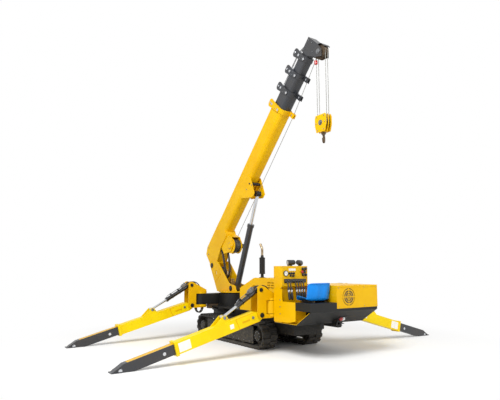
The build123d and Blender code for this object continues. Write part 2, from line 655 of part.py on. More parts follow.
def add_neck():
    """Adds the base section's neck, a closed box from the tube's root down to the foot pin."""
    neck = profile(
        BOOM_SIDE,
        (TUBE_ROOT_T, BOOM_TOP_V),
        *NECK_OUTER,
        *NECK_FOOT,
        (NECK_SHELF_T[0], NECK_SHELF_V),
        (NECK_SHELF_T[1], NECK_SHELF_V),
        (TUBE_ROOT_T, BOOM_BOTTOM_V),
    )
    extrude(neck, amount=BOOM_WIDTH / 2, both=True)
    recess_v = NECK_FOOT[1][1] + NECK_SLOPE * (NECK_RECESS_T - NECK_FOOT[1][0])
    recess = profile(
        BOOM_SIDE,
        (NECK_RECESS_T, recess_v - NECK_RECESS),
        (NECK_SHELF_T[0], NECK_SHELF_V - NECK_RECESS),
        (NECK_SHELF_T[0], NECK_SHELF_V + NECK_RECESS),
        (NECK_RECESS_T, recess_v + NECK_RECESS),
    )
    extrude(recess, amount=BOOM_WIDTH / 2 - NECK_PLATE, both=True, mode=Mode.SUBTRACT)
    foot_bore = link(BOOM_SIDE, (0, 0, FOOT_PIN_RADIUS + RUN_GAP))
    extrude(foot_bore, amount=BOOM_WIDTH, both=True, mode=Mode.SUBTRACT)


def add_base_lugs():
    """Adds the base section's cheeks for the luffing cylinder and the winch, and the winch's roof."""
    lug_top = BOOM_BOTTOM_V + KEEL_RADIUS + LUFF_LUG_ROOT
    winch_y = DRUM_LENGTH / 2 + SIDE_GAP + WINCH_PLATE / 2
    for side in (1, -1):
        lug = profile(
            BOOM_SIDE.offset(side * BOOM_WIDTH / 2),
            (LUFF_EYE_T - LUFF_LUG_BACK, lug_top),
            (LUFF_EYE_T - LUFF_LUG_BACK, BOOM_BOTTOM_V),
            (LUFF_EYE_T - LUFF_LUG_TIP_BACK, LUFF_EYE_V - LUFF_LUG_DROP),
            (LUFF_EYE_T + LUFF_LUG_TIP_FRONT, LUFF_EYE_V - LUFF_LUG_DROP),
            (LUFF_EYE_T + LUFF_LUG_FRONT, BOOM_BOTTOM_V),
            (LUFF_EYE_T + LUFF_LUG_FRONT, lug_top),
        )
        extrude(lug, amount=LUFF_LUG_PLATE / 2, both=True)
        winch = BOOM_SIDE.offset(side * winch_y)
        extrude(profile(winch, *WINCH_CHEEK), amount=WINCH_PLATE / 2, both=True)
        shaft_bore = link(winch, (DRUM_T, DRUM_V, DRUM_SHAFT_RADIUS + RUN_GAP))
        extrude(shaft_bore, amount=WINCH_PLATE, both=True, mode=Mode.SUBTRACT)
    (top_t, top_v), (low_t, low_v) = WINCH_CHEEK[1:3]
    roof = profile(
        BOOM_SIDE,
        (top_t - WINCH_ROOF, top_v),
        (top_t, top_v),
        (low_t, low_v),
        (low_t - WINCH_ROOF, low_v),
    )
    extrude(roof, amount=winch_y, both=True)


def add_head(height):
    """Adds the last section's head: sleeve and end plate, cheeks, rope guard and sheave pin."""
    top = BOOM_MID_V + height / 2
    low = BOOM_MID_V - height / 2
    inside = HEAD_HALF_WIDTH - HEAD_PLATE
    for side in (1, -1):
        cheek = profile(
            BOOM_SIDE.offset(side * (HEAD_HALF_WIDTH - HEAD_PLATE / 2)),
            (HEAD_SLEEVE_T, top),
            (HEAD_T, top),
            (HEAD_T, HEAD_LIP_V),
            HEAD_CHEEK_END,
            HEAD_CHEEK_LOW,
            HEAD_CHEEK_HEEL,
            (HEAD_SLEEVE_T, low),
        )
        extrude(cheek, amount=HEAD_PLATE / 2, both=True)
    sleeve = profile(
        BOOM_SIDE,
        (HEAD_SLEEVE_T, top),
        (HEAD_T, top),
        (HEAD_T, HEAD_LIP_V),
        (HEAD_T - HEAD_END_PLATE, HEAD_LIP_V),
        (HEAD_T - HEAD_END_PLATE, low),
        (HEAD_SLEEVE_T, low),
    )
    extrude(sleeve, amount=inside, both=True)
    guard_radius = SHEAVE_RADIUS + GUARD_GAP
    with BuildSketch(BOOM_SIDE) as guard:
        with BuildLine():
            arcs = []
            for radius in (guard_radius, guard_radius + GUARD_PLATE):
                sweep_angle = GUARD_SWEEP[1] - GUARD_SWEEP[0]
                arcs.append(CenterArc((SHEAVE_T, SHEAVE_V), radius, GUARD_SWEEP[0], sweep_angle))
            Line(arcs[0] @ 0, arcs[1] @ 0)
            Line(arcs[0] @ 1, arcs[1] @ 1)
        make_face()
    extrude(guard.sketch, amount=inside, both=True)
    extrude(link(BOOM_SIDE, (SHEAVE_T, SHEAVE_V, SHEAVE_PIN_RADIUS)), amount=HEAD_HALF_WIDTH, both=True)


for index in range(SECTION_COUNT):
    last = index == SECTION_COUNT - 1
    wall = BOOM_WALL if index == 0 else SECTION_WALL
    tail = TUBE_ROOT_T + index * SECTION_TAIL_STEP
    end = HEAD_T - HEAD_TUBE_SHORT if last else COLLAR_T[index]
    bore_end = end if last else end - COLLAR_LENGTH
    with BuildPart() as section:
        extrude(box_section(tail, index, 0), amount=end - tail)
        if not last:
            add_collar(index)
            if index < COLLAR_FOOT_COUNT:
                add_clevis(index)
            throat = box_section(bore_end, index + 1, RUN_GAP)
            extrude(throat, amount=COLLAR_LENGTH + COLLAR_FOOT_FRONT, mode=Mode.SUBTRACT)
        extrude(box_section(tail, index, -wall), amount=bore_end - tail, mode=Mode.SUBTRACT)
        if index == 0:
            add_neck()
            add_base_lugs()
        if last:
            add_head(SECTION_HEIGHT[index])
    save(section, "boom_base" if index == 0 else f"boom_section_{index + 1}")

# Winch drum on its shaft
with BuildPart() as drum:
    extrude(link(BOOM_SIDE, (DRUM_T, DRUM_V, DRUM_RADIUS)), amount=DRUM_LENGTH / 2, both=True)
    for side in (1, -1):
        flange = BOOM_SIDE.offset(side * (DRUM_LENGTH - DRUM_FLANGE) / 2)
        extrude(link(flange, (DRUM_T, DRUM_V, DRUM_FLANGE_RADIUS)), amount=DRUM_FLANGE / 2, both=True)
    shaft = DRUM_LENGTH / 2 + SIDE_GAP + WINCH_PLATE
    extrude(link(BOOM_SIDE, (DRUM_T, DRUM_V, DRUM_SHAFT_RADIUS)), amount=shaft, both=True)
save(drum, "winch_drum")


def grooved_wheel(centre, bore, groove):
    """A pair of rope sheaves on an axis along Y, turned from one half section."""
    with BuildPart() as wheel:
        for side in (1, -1):
            mid_y = side * SHEAVE_SPACING / 2
            plane = Plane(origin=centre + Vector(0, mid_y, 0), x_dir=(1, 0, 0), z_dir=(0, 0, 1))
            with BuildSketch(plane):
                with BuildLine():
                    Polyline(
                        (bore, -SHEAVE_WIDTH / 2),
                        (SHEAVE_RADIUS, -SHEAVE_WIDTH / 2),
                        (groove, -ROPE_RADIUS),
                        (groove, ROPE_RADIUS),
                        (SHEAVE_RADIUS, SHEAVE_WIDTH / 2),
                        (bore, SHEAVE_WIDTH / 2),
                        close=True,
                    )
                make_face()
            revolve(axis=Axis(centre, (0, 1, 0)))
    return wheel


ROPE_BED = ROPE_PITCH_RADIUS - ROPE_RADIUS - ROPE_GROOVE_GAP
HEAD_AXIS = boom_point(SHEAVE_T, SHEAVE_V)
BLOCK_AXIS = HEAD_AXIS - Vector(0, 0, BLOCK_DROP)
head_sheaves = grooved_wheel(HEAD_AXIS, SHEAVE_PIN_RADIUS + RUN_GAP, ROPE_BED)
save(head_sheaves, "head_sheaves")

# Four rope falls between the head sheaves and the block's
with BuildPart() as falls:
    for dx in (ROPE_PITCH_RADIUS, -ROPE_PITCH_RADIUS):
        for dy in (SHEAVE_SPACING / 2, -SHEAVE_SPACING / 2):
            with Locations(BLOCK_AXIS + Vector(dx, dy, BLOCK_DROP / 2)):
                Cylinder(ROPE_RADIUS, BLOCK_DROP)
save(falls, "hoist_falls")

# Hook block: two cheeks and a middle plate with cut corners, its sheaves and a swivel seat
BLOCK_OUTLINE = BLOCK_CHEEK + tuple((-x, z) for x, z in reversed(BLOCK_CHEEK))
BLOCK_LOW = BLOCK_CHEEK[-1][1]
with BuildPart() as block:
    plane = Plane(origin=BLOCK_AXIS, x_dir=(1, 0, 0), z_dir=(0, -1, 0))
    for side in (1, -1):
        cheek = plane.offset(side * (BLOCK_HALF_WIDTH - BLOCK_PLATE / 2))
        extrude(profile(cheek, *BLOCK_OUTLINE), amount=BLOCK_PLATE / 2, both=True)
        sheave = plane.offset(side * SHEAVE_SPACING / 2)
        extrude(link(sheave, (0, 0, ROPE_BED)), amount=SHEAVE_WIDTH / 2, both=True)
    extrude(profile(plane, *BLOCK_OUTLINE), amount=BLOCK_MID_PLATE / 2, both=True)
    pin = link(plane, (0, 0, SHEAVE_PIN_RADIUS))
    extrude(pin, amount=BLOCK_HALF_WIDTH + BLOCK_PIN_PROUD, both=True)
    with Locations(BLOCK_AXIS + Vector(0, 0, BLOCK_LOW + BLOCK_SEAT / 2)):
        Box(BLOCK_SEAT_LENGTH, 2 * BLOCK_HALF_WIDTH, BLOCK_SEAT)
save(block, "hook_block")

# Hook: shank in the swivel, round bend and point
HOOK_TOP_Z = BLOCK_AXIS.Z + BLOCK_LOW - FACE_GAP
HOOK_ANGLE = math.radians(HOOK_TURN)
with BuildPart() as hook:
    with Locations((BLOCK_AXIS.X, 0, HOOK_TOP_Z - SWIVEL_HEIGHT / 2)):
        Cylinder(SWIVEL_RADIUS, SWIVEL_HEIGHT)
    bend_top_z = HOOK_TOP_Z - SWIVEL_HEIGHT - HOOK_NECK
    with Locations((BLOCK_AXIS.X, 0, bend_top_z + HOOK_NECK / 2)):
        Cylinder(HOOK_SHANK_RADIUS, HOOK_NECK)
    centre = Vector(BLOCK_AXIS.X, 0, bend_top_z - HOOK_BEND_RADIUS)
    hook_dir = Vector(math.cos(HOOK_ANGLE), math.sin(HOOK_ANGLE), 0)
    with BuildLine(Plane(origin=centre, x_dir=hook_dir, z_dir=hook_dir.cross(Vector(0, 0, 1)))) as bend:
        CenterArc((0, 0), HOOK_BEND_RADIUS, 90, -270)
    with BuildSketch(Plane(origin=bend.line @ 0, z_dir=bend.line % 0)):
        Circle(HOOK_STOCK)
    sweep(path=bend.line)
save(hook, "hook")


# Cylinders: a barrel with a base eye and gland, and a rod with its eye
def cylinder_pair(base, eye, spec, names):
    """Writes a barrel hinged at base and the rod that reaches to eye; both pins run across."""
    reach = eye - base
    along = reach.normalized()
    pin_dir = spec["pin"]
    side = Plane(origin=base, x_dir=along, z_dir=pin_dir)
    ring = Plane(origin=base, z_dir=along)
    half_eye = spec["eye_width"] / 2
    with BuildPart() as barrel:
        start = spec["eye_radius"] + EYE_NECK
        neck_radius = spec["eye_radius"] * EYE_NECK_SHARE
        extrude(link(side, (0, 0, spec["eye_radius"]), (start, 0, neck_radius)), amount=half_eye, both=True)
        with BuildSketch(ring.offset(start)):
            Circle(spec["barrel_radius"])
        extrude(amount=spec["barrel_length"] - start)
        with BuildSketch(ring.offset(spec["barrel_length"] - spec["gland_length"])):
            Circle(spec["gland_radius"])
        extrude(amount=spec["gland_length"])
        chamber = start + BARREL_END
        with BuildSketch(ring.offset(chamber)):
            Circle(spec["barrel_radius"] - spec["barrel_wall"])
        extrude(amount=spec["barrel_length"] - spec["gland_length"] - chamber, mode=Mode.SUBTRACT)
        with BuildSketch(ring.offset(spec["barrel_length"] - spec["gland_length"])):
            Circle(spec["rod_radius"] + RUN_GAP)
        extrude(amount=spec["gland_length"], mode=Mode.SUBTRACT)
        pin_bore = link(side, (0, 0, spec["pin_radius"] + RUN_GAP))
        extrude(pin_bore, amount=half_eye, both=True, mode=Mode.SUBTRACT)
    save(barrel, names[0])
    with BuildPart() as rod:
        with BuildSketch(ring.offset(reach.length - spec["rod_length"])):
            Circle(spec["rod_radius"])
        extrude(amount=spec["rod_length"])
        with BuildSketch(ring.offset(reach.length - spec["rod_length"])):
            Circle(spec["barrel_radius"] - spec["barrel_wall"] - RUN_GAP)
        extrude(amount=PISTON_LENGTH)
        extrude(link(side, (reach.length, 0, spec["eye_radius"])), amount=half_eye, both=True)
    save(rod, names[1])


LUFF_SPEC = {
    "pin": (0, 1, 0),
    "pin_radius": FOOT_PIN_RADIUS,
    "eye_radius": LUFF_EYE_RADIUS,
    "eye_width": LUFF_EYE_WIDTH,
    "barrel_radius": LUFF_BARREL_RADIUS,
    "barrel_wall": LUFF_BARREL_WALL,
    "barrel_length": LUFF_BARREL_LENGTH,
    "gland_length": LUFF_GLAND_LENGTH,
    "gland_radius": LUFF_GLAND_RADIUS,
    "rod_radius": LUFF_ROD_RADIUS,
    "rod_length": LUFF_ROD_LENGTH,
}
cylinder_pair(
    Vector(LUFF_BASE_X, 0, LUFF_BASE_Z),
    boom_point(LUFF_EYE_T, LUFF_EYE_V),
    LUFF_SPEC,
    ("luff_barrel", "luff_rod"),
)

# Outriggers: name, X of the beam, side of the machine, rod lug's reach along the arm, barrel length
OUTRIGGERS = (
    ("front_left", FRONT_BEAM_X, 1, 830.0, 590.0),
    ("front_right", FRONT_BEAM_X, -1, 830.0, 590.0),
    ("rear_left", REAR_BEAM_X, 1, 660.0, 480.0),
    ("rear_right", REAR_BEAM_X, -1, 660.0, 480.0),
)
LEG_SLOPE = math.atan2(PIVOT_Z, FOOT_Y - PIVOT_Y)
LEG_LENGTH = math.hypot(PIVOT_Z, FOOT_Y - PIVOT_Y)
LIP_TOP_Z = BEAM_TOP_Z + LIP_GAP
LIP_LOW_Z = BEAM_BOTTOM_Z - LIP_GAP

for label, beam_x, side, lug_reach, barrel_length in OUTRIGGERS:
    # Upright section plane, local x outwards, local y up
    upright = Plane(origin=(beam_x, 0, 0), x_dir=(0, side, 0), z_dir=(side, 0, 0))
    with BuildPart() as bracket:
        for hand in (1, -1):
            cheek = upright.offset(hand * (BRACKET_HALF_WIDTH - BRACKET_PLATE / 2))
            extrude(
                profile(
                    cheek,
                    (BRACKET_OUTER_Y - BRACKET_HEEL, BRACKET_BOTTOM_Z),
                    (BRACKET_OUTER_Y, BRACKET_BOTTOM_Z + BRACKET_HEEL),
                    (BRACKET_OUTER_Y, BRACKET_APEX_Z - BRACKET_BROW),
                    (BRACKET_OUTER_Y - BRACKET_BROW, BRACKET_APEX_Z),
                    (BRACKET_OUTER_Y - BRACKET_BROW - BRACKET_CROWN, BRACKET_APEX_Z),
                    (LIP_INNER_Y, GUSSET_END_Z),
                    (LIP_INNER_Y, LIP_TOP_Z),
                    (BRACKET_WEB_Y, LIP_TOP_Z),
                    (BRACKET_WEB_Y, LIP_LOW_Z),
                    (LIP_INNER_Y, LIP_LOW_Z),
                    (LIP_INNER_Y, BRACKET_BOTTOM_Z),
                ),
                amount=BRACKET_PLATE / 2,
                both=True,
            )
        web = profile(
            upright,
            (BRACKET_WEB_Y, BRACKET_BOTTOM_Z),
            (BRACKET_WEB_Y + BRACKET_PLATE, BRACKET_BOTTOM_Z),
            (BRACKET_WEB_Y + BRACKET_PLATE, GUSSET_END_Z + BRACKET_WEB_RISE),
            (BRACKET_WEB_Y, GUSSET_END_Z + BRACKET_WEB_RISE),
        )
        extrude(web, amount=BRACKET_HALF_WIDTH - BRACKET_PLATE / 2, both=True)
        for bottom in (LIP_TOP_Z, LIP_LOW_Z - LIP_THICK):
            with BuildSketch(Plane.XY.offset(bottom)):
                with Locations((beam_x, side * SWING_Y)):
                    Circle(BEAM_WIDTH / 2 - SIDE_GAP)
                web_back = BRACKET_WEB_Y + BRACKET_PLATE
                with Locations((beam_x, side * (SWING_Y + web_back) / 2)):
                    Rectangle(2 * BRACKET_HALF_WIDTH - BRACKET_PLATE, web_back - SWING_Y)
            extrude(amount=LIP_THICK)
        with BuildSketch(Plane.XY.offset(LIP_LOW_Z - LIP_THICK)):
            with Locations((beam_x, side * SWING_Y)):
                Circle(SWING_PIN_RADIUS)
        extrude(amount=LIP_TOP_Z + 2 * LIP_THICK - LIP_LOW_Z)
        for y, z in ((PIVOT_Y, PIVOT_Z), (TOP_PIN_Y, TOP_PIN_Z)):
            pin = link(upright, (y, z, PIVOT_PIN_RADIUS))
            extrude(pin, amount=BRACKET_HALF_WIDTH + PIN_PROUD, both=True)
    save(bracket, f"bracket_{label}")

    # Arm plane: local x down the leg, local y square to it, origin on the pivot
    down = Vector(0, side * math.cos(LEG_SLOPE), -math.sin(LEG_SLOPE))
    pivot = Vector(beam_x, side * PIVOT_Y, PIVOT_Z)
    leg = Plane(origin=pivot, x_dir=down, z_dir=(side, 0, 0))
    mouth = Plane(origin=pivot + down * ARM_LENGTH, x_dir=(1, 0, 0), z_dir=down)
    lug_y = LEG_EYE_WIDTH / 2 + SIDE_GAP + LEG_LUG_PLATE / 2
    with BuildPart() as arm:
        body = profile(
            leg,
            (-ARM_HEEL, -ARM_HEEL_LOW),
            (ARM_BEVEL_LOW, -ARM_HEIGHT / 2),
            (ARM_LENGTH, -ARM_HEIGHT / 2),
            (ARM_LENGTH, ARM_HEIGHT / 2),
            (ARM_BEVEL_TOP, ARM_HEIGHT / 2),
            (-ARM_HEEL, ARM_HEEL_TOP),
        )
        extrude(body, amount=ARM_WIDTH / 2, both=True)
        with BuildSketch(mouth.offset(-ARM_COLLAR_LENGTH)):
            Rectangle(ARM_WIDTH + 2 * ARM_COLLAR_RIM, ARM_HEIGHT + 2 * ARM_COLLAR_RIM)
        extrude(amount=ARM_COLLAR_LENGTH)
        with BuildSketch(mouth):
            Rectangle(EXTENSION_WIDTH + 2 * RUN_GAP, EXTENSION_HEIGHT + 2 * RUN_GAP)
        extrude(amount=ARM_SOLID_ROOT - ARM_LENGTH, mode=Mode.SUBTRACT)
        pivot_bore = link(leg, (0, 0, PIVOT_PIN_RADIUS + RUN_GAP))
        extrude(pivot_bore, amount=ARM_WIDTH, both=True, mode=Mode.SUBTRACT)
        for hand in (1, -1):
            lug = profile(
                leg.offset(hand * lug_y),
                (lug_reach - LEG_LUG_BACK, ARM_HEIGHT / 2 - WELD),
                (lug_reach - LEG_LUG_TIP, LEG_LUG_RISE + LEG_LUG_TIP),
                (lug_reach + LEG_LUG_TIP, LEG_LUG_RISE + LEG_LUG_TIP),
                (lug_reach + LEG_LUG_FRONT, ARM_HEIGHT / 2 - WELD),
            )
            extrude(lug, amount=LEG_LUG_PLATE / 2, both=True)
            doubler = profile(leg.offset(hand * ARM_WIDTH / 2), *ARM_DOUBLER_OUTLINE)
            extrude(doubler, amount=hand * ARM_DOUBLER)
    save(arm, f"arm_{label}")

    with BuildPart() as extension:
        with BuildSketch(mouth.offset(-EXTENSION_TAIL)):
            Rectangle(EXTENSION_WIDTH, EXTENSION_HEIGHT)
        extrude(amount=EXTENSION_TAIL + LEG_LENGTH - ARM_LENGTH - FOOT_NOSE)
        nose = profile(
            leg,
            (LEG_LENGTH - FOOT_NOSE, -EXTENSION_HEIGHT / 2),
            (LEG_LENGTH - FOOT_NOSE, EXTENSION_HEIGHT / 2),
            (LEG_LENGTH - NOSE_SHORT, NOSE_TOP),
            (LEG_LENGTH - NOSE_SHORT, -NOSE_LOW),
        )
        extrude(nose, amount=EXTENSION_WIDTH / 2, both=True)
        with Locations((beam_x, side * (FOOT_Y - FOOT_PAD_SHIFT), FOOT_PAD_THICK / 2)):
            Box(FOOT_PAD_WIDTH, FOOT_PAD_LENGTH, FOOT_PAD_THICK)
        ankle = profile(upright, *[(FOOT_Y + y, z) for y, z in ANKLE_OUTLINE])
        extrude(ankle, amount=EXTENSION_WIDTH / 2, both=True)
    save(extension, f"extension_{label}")

    leg_spec = {
        "pin": (side, 0, 0),
        "pin_radius": PIVOT_PIN_RADIUS,
        "eye_radius": LEG_EYE_RADIUS,
        "eye_width": LEG_EYE_WIDTH,
        "barrel_radius": LEG_BARREL_RADIUS,
        "barrel_wall": LEG_BARREL_WALL,
        "barrel_length": barrel_length,
        "gland_length": LEG_GLAND_LENGTH,
        "gland_radius": LEG_GLAND_RADIUS,
        "rod_radius": LEG_ROD_RADIUS,
        "rod_length": barrel_length - LEG_ROD_SHORT,
    }
    cylinder_pair(
        Vector(beam_x, side * TOP_PIN_Y, TOP_PIN_Z),
        leg.from_local_coords(Vector(lug_reach, LEG_LUG_RISE, 0)),
        leg_spec,
        (f"leg_barrel_{label}", f"leg_rod_{label}"),
    )

# Rear tub: slanted stern, floor and front wall, one folded sheet between the side panels
TUB_SLOPE_TOP = (STERN_X + SHEET, STERN_BEND_Z + SHEET / 2)
TUB_SLOPE_LOW = (TUB_BOTTOM_X + SHEET / 3, TUB_BOTTOM_Z + SHEET)
with BuildPart() as tub:
    outer = profile(
        SIDE_VIEW,
        (STERN_X, STERN_TOP_Z),
        (STERN_X, STERN_BEND_Z),
        (TUB_BOTTOM_X, TUB_BOTTOM_Z),
        (BODY_FRONT_X, TUB_BOTTOM_Z),
        (BODY_FRONT_X, STERN_TOP_Z),
    )
    extrude(outer, amount=BODY_HALF_WIDTH - SHEET, both=True)
    inner = profile(
        SIDE_VIEW,
        (STERN_X + SHEET, STERN_TOP_Z),
        TUB_SLOPE_TOP,
        TUB_SLOPE_LOW,
        (BODY_FRONT_X - SHEET, TUB_BOTTOM_Z + SHEET),
        (BODY_FRONT_X - SHEET, STERN_TOP_Z),
    )
    extrude(inner, amount=BODY_HALF_WIDTH, both=True, mode=Mode.SUBTRACT)
    with BuildSketch(Plane.XY.offset(PLATFORM_BOTTOM_Z)):
        with Locations(((STERN_X + PLATFORM_FRONT_X) / 2, (BOX_LEFT_Y + BODY_HALF_WIDTH) / 2)):
            Rectangle(PLATFORM_FRONT_X - STERN_X, BODY_HALF_WIDTH - BOX_LEFT_Y)
    extrude(amount=STERN_TOP_Z - PLATFORM_BOTTOM_Z, mode=Mode.SUBTRACT)
    with BuildSketch(Plane.XY.offset(TUB_BOTTOM_Z + SHEET)):
        with Locations((BODY_FRONT_X - SHEET / 2, (CONSOLE_RIGHT_Y + BODY_HALF_WIDTH) / 2)):
            Rectangle(SHEET, BODY_HALF_WIDTH - CONSOLE_RIGHT_Y)
    extrude(amount=STERN_TOP_Z - TUB_BOTTOM_Z - SHEET, mode=Mode.SUBTRACT)
save(tub, "rear_tub")

with BuildPart() as platform:
    with BuildSketch(Plane.XY.offset(PLATFORM_BOTTOM_Z)):
        with Locations(((STERN_X + PLATFORM_FRONT_X) / 2, (BOX_LEFT_Y + BODY_HALF_WIDTH) / 2)):
            Rectangle(PLATFORM_FRONT_X - STERN_X, BODY_HALF_WIDTH - BOX_LEFT_Y)
    extrude(amount=PLATFORM_TOP_Z - PLATFORM_BOTTOM_Z)
save(platform, "platform")

# Left panel: under the console, then low beside the foot-well, its heel swept up
with BuildPart() as left_panel:
    panel_rear_x = PLATFORM_FRONT_X + PANEL_GAP
    outline = rounded(
        SIDE_VIEW.offset(-(BODY_HALF_WIDTH - SHEET)),
        (BODY_FRONT_X, PANEL_LOW_Z, 0),
        (PANEL_SWEEP_X, PANEL_LOW_Z, 0),
        (panel_rear_x, PANEL_SWEEP_Z, PANEL_CORNER),
        (panel_rear_x, PLATFORM_TOP_Z, 0),
        (PANEL_CONSOLE_X, PLATFORM_TOP_Z, PANEL_CORNER),
        (PANEL_CONSOLE_X, PANEL_TOP_Z, 0),
        (BODY_FRONT_X, PANEL_TOP_Z, 0),
    )
    extrude(outline, amount=-SHEET)
save(left_panel, "side_panel_left")

with BuildPart() as right_panel:
    outline = profile(
        SIDE_VIEW.offset(BODY_HALF_WIDTH - SHEET),
        (BODY_FRONT_X, PANEL_LOW_Z),
        (TUB_BOTTOM_X + PANEL_HEEL, TUB_BOTTOM_Z + PANEL_HEEL_RISE),
        (STERN_X + PANEL_STERN_INSET, PLATFORM_BOTTOM_Z),
        (STERN_X + PANEL_STERN_INSET, STERN_TOP_Z),
        (BODY_FRONT_X, STERN_TOP_Z),
    )
    extrude(outline, amount=SHEET)
save(right_panel, "side_panel_right")

# Foot-well floor: a thin folded sheet up the stern's slope and along to the console
SLOPE_X = TUB_SLOPE_LOW[0] - TUB_SLOPE_TOP[0]
SLOPE_Z = TUB_SLOPE_LOW[1] - TUB_SLOPE_TOP[1]
SLOPE_LENGTH = math.hypot(SLOPE_X, SLOPE_Z)
with BuildPart() as foot_floor:
    start_x = TUB_SLOPE_TOP[0] + FLOOR_TOP_SHARE * SLOPE_X
    start_z = TUB_SLOPE_TOP[1] + FLOOR_TOP_SHARE * SLOPE_Z
    lift_x = -SLOPE_Z / SLOPE_LENGTH * FLOOR_SHEET
    lift_z = SLOPE_X / SLOPE_LENGTH * FLOOR_SHEET
    floor_top = TUB_SLOPE_LOW[1] + FLOOR_SHEET
    bend_x = start_x + lift_x + (floor_top - start_z - lift_z) * SLOPE_X / SLOPE_Z
    sheet = profile(
        SIDE_VIEW.offset(-CONSOLE_RIGHT_Y),
        (start_x, start_z),
        TUB_SLOPE_LOW,
        (CONSOLE_KNEE_X, TUB_SLOPE_LOW[1]),
        (CONSOLE_KNEE_X, floor_top),
        (bend_x, floor_top),
        (start_x + lift_x, start_z + lift_z),
    )
    extrude(sheet, amount=-(BODY_HALF_WIDTH - SHEET - CONSOLE_RIGHT_Y))
save(foot_floor, "foot_floor")

# Engine box with a round vent of arc slots in its rear face
with BuildPart() as engine_box:
    with BuildSketch(Plane.XY.offset(STERN_TOP_Z)):
        with Locations(((STERN_X + BODY_FRONT_X) / 2, (BOX_LEFT_Y - BODY_HALF_WIDTH) / 2)):
            Rectangle(BODY_FRONT_X - STERN_X, BOX_LEFT_Y + BODY_HALF_WIDTH)
    extrude(amount=BOX_TOP_Z - STERN_TOP_Z)
    offset(amount=-BOX_WALL, openings=engine_box.faces().sort_by(Axis.Z)[0])
    with BuildSketch(Plane(origin=(STERN_X, VENT_Y, VENT_Z), x_dir=(0, -1, 0), z_dir=(-1, 0, 0))):
        ring_pitch = VENT_RADIUS / VENT_RINGS
        for ring in range(1, VENT_RINGS + 1):
            Circle(ring * ring_pitch)
            Circle(ring * ring_pitch - VENT_SLOT, mode=Mode.SUBTRACT)
        Rectangle(2 * VENT_RADIUS, VENT_BAND, mode=Mode.SUBTRACT)
        Rectangle(VENT_BAND, 2 * VENT_RADIUS, mode=Mode.SUBTRACT)
    extrude(amount=-2 * BOX_WALL, mode=Mode.SUBTRACT)
save(engine_box, "engine_box")

# Console over the foot-well, with a sloped knee under the lever face
with BuildPart() as console:
    lower = profile(
        SIDE_VIEW.offset(-CONSOLE_RIGHT_Y),
        (BODY_FRONT_X, TUB_BOTTOM_Z + SHEET),
        (BODY_FRONT_X, PANEL_TOP_Z),
        (CONSOLE_KNEE_X, PANEL_TOP_Z),
        (CONSOLE_KNEE_X, TUB_BOTTOM_Z + SHEET),
    )
    extrude(lower, amount=-(BODY_HALF_WIDTH - SHEET - CONSOLE_RIGHT_Y))
    upper = profile(
        SIDE_VIEW.offset(-CONSOLE_RIGHT_Y),
        (BODY_FRONT_X, PANEL_TOP_Z),
        (BODY_FRONT_X, CONSOLE_TOP_Z),
        (CONSOLE_REAR_X, CONSOLE_TOP_Z),
        (CONSOLE_REAR_X, PANEL_TOP_Z + CONSOLE_KNEE_RISE),
        (CONSOLE_KNEE_X, PANEL_TOP_Z),
    )
    extrude(upper, amount=-(BODY_HALF_WIDTH - CONSOLE_RIGHT_Y))
save(console, "console")

# Control levers: round bent shafts out of the console's rear face with hanging grips
with BuildPart() as levers:
    for step in LEVER_STEPS:
        y = LEVER_FIRST_Y - step * LEVER_PITCH
        with BuildLine() as shaft:
            FilletPolyline(
                (CONSOLE_REAR_X, y, LEVER_Z),
                (CONSOLE_REAR_X - LEVER_OUT, y, LEVER_Z),
                (CONSOLE_REAR_X - LEVER_TIP_OUT, y, LEVER_TIP_Z),
                radius=LEVER_BEND,
            )
        with BuildSketch(Plane(origin=shaft.line @ 0, z_dir=shaft.line % 0)):
            Circle(LEVER_RADIUS)
        sweep(path=shaft.line)
        tip = Plane(origin=shaft.line @ 1, z_dir=shaft.line % 1)
        for run, radius in GRIP_STATIONS:
            with BuildSketch(tip.offset(run)):
                Circle(radius)
        loft()
save(levers, "control_levers")

# Moulded seat: a bent shell with round corners and raised sides on a low foot
with BuildPart() as seat:
    side_view = SIDE_VIEW.offset(-SEAT_MID_Y)
    shell = profile(side_view, *[(SEAT_BACK_X + x, SEAT_BASE_Z + z) for x, z in SEAT_SHELL])
    extrude(shell, amount=SEAT_WIDTH / 2, both=True)
    for side in (1, -1):
        wing = side_view.offset(side * (SEAT_WIDTH - SEAT_WING) / 2)
        outline = profile(wing, *[(SEAT_BACK_X + x, SEAT_BASE_Z + z) for x, z in SEAT_SIDE])
        extrude(outline, amount=SEAT_WING / 2, both=True)
    seat_rear_x = SEAT_BACK_X + SEAT_SHELL[5][0]
    with BuildSketch(Plane.XY.offset(SEAT_BASE_Z)):
        with Locations(((seat_rear_x + SEAT_FRONT_X) / 2 - SEAT_ROUND / 2, SEAT_MID_Y)):
            RectangleRounded(SEAT_FRONT_X - seat_rear_x + SEAT_ROUND, SEAT_WIDTH, SEAT_ROUND)
    extrude(amount=SEAT_TOP_Z - SEAT_BASE_Z, mode=Mode.INTERSECT)
    rear_view = Plane(origin=(seat_rear_x, SEAT_MID_Y, SEAT_BASE_Z), x_dir=(0, 1, 0), z_dir=(1, 0, 0))
    with BuildSketch(rear_view):
        with Locations((0, (SEAT_TOP_Z - SEAT_BASE_Z - SEAT_ROUND) / 2)):
            RectangleRounded(SEAT_WIDTH, SEAT_TOP_Z - SEAT_BASE_Z + SEAT_ROUND, SEAT_ROUND)
    extrude(amount=SEAT_FRONT_X - seat_rear_x, mode=Mode.INTERSECT)
    with Locations(((SEAT_BACK_X + SEAT_FRONT_X) / 2, SEAT_MID_Y, (PLATFORM_TOP_Z + SEAT_BASE_Z) / 2)):
        Box(SEAT_FOOT_LENGTH, SEAT_FOOT_WIDTH, SEAT_BASE_Z - PLATFORM_TOP_Z)
save(seat, "seat")

# Hood over the engine: two bays of a shell open below, stepped over the rear beam, louvred at both sides
HOOD_STEP_X = REAR_BEAM_X + BEAM_WIDTH / 2 + SIDE_GAP


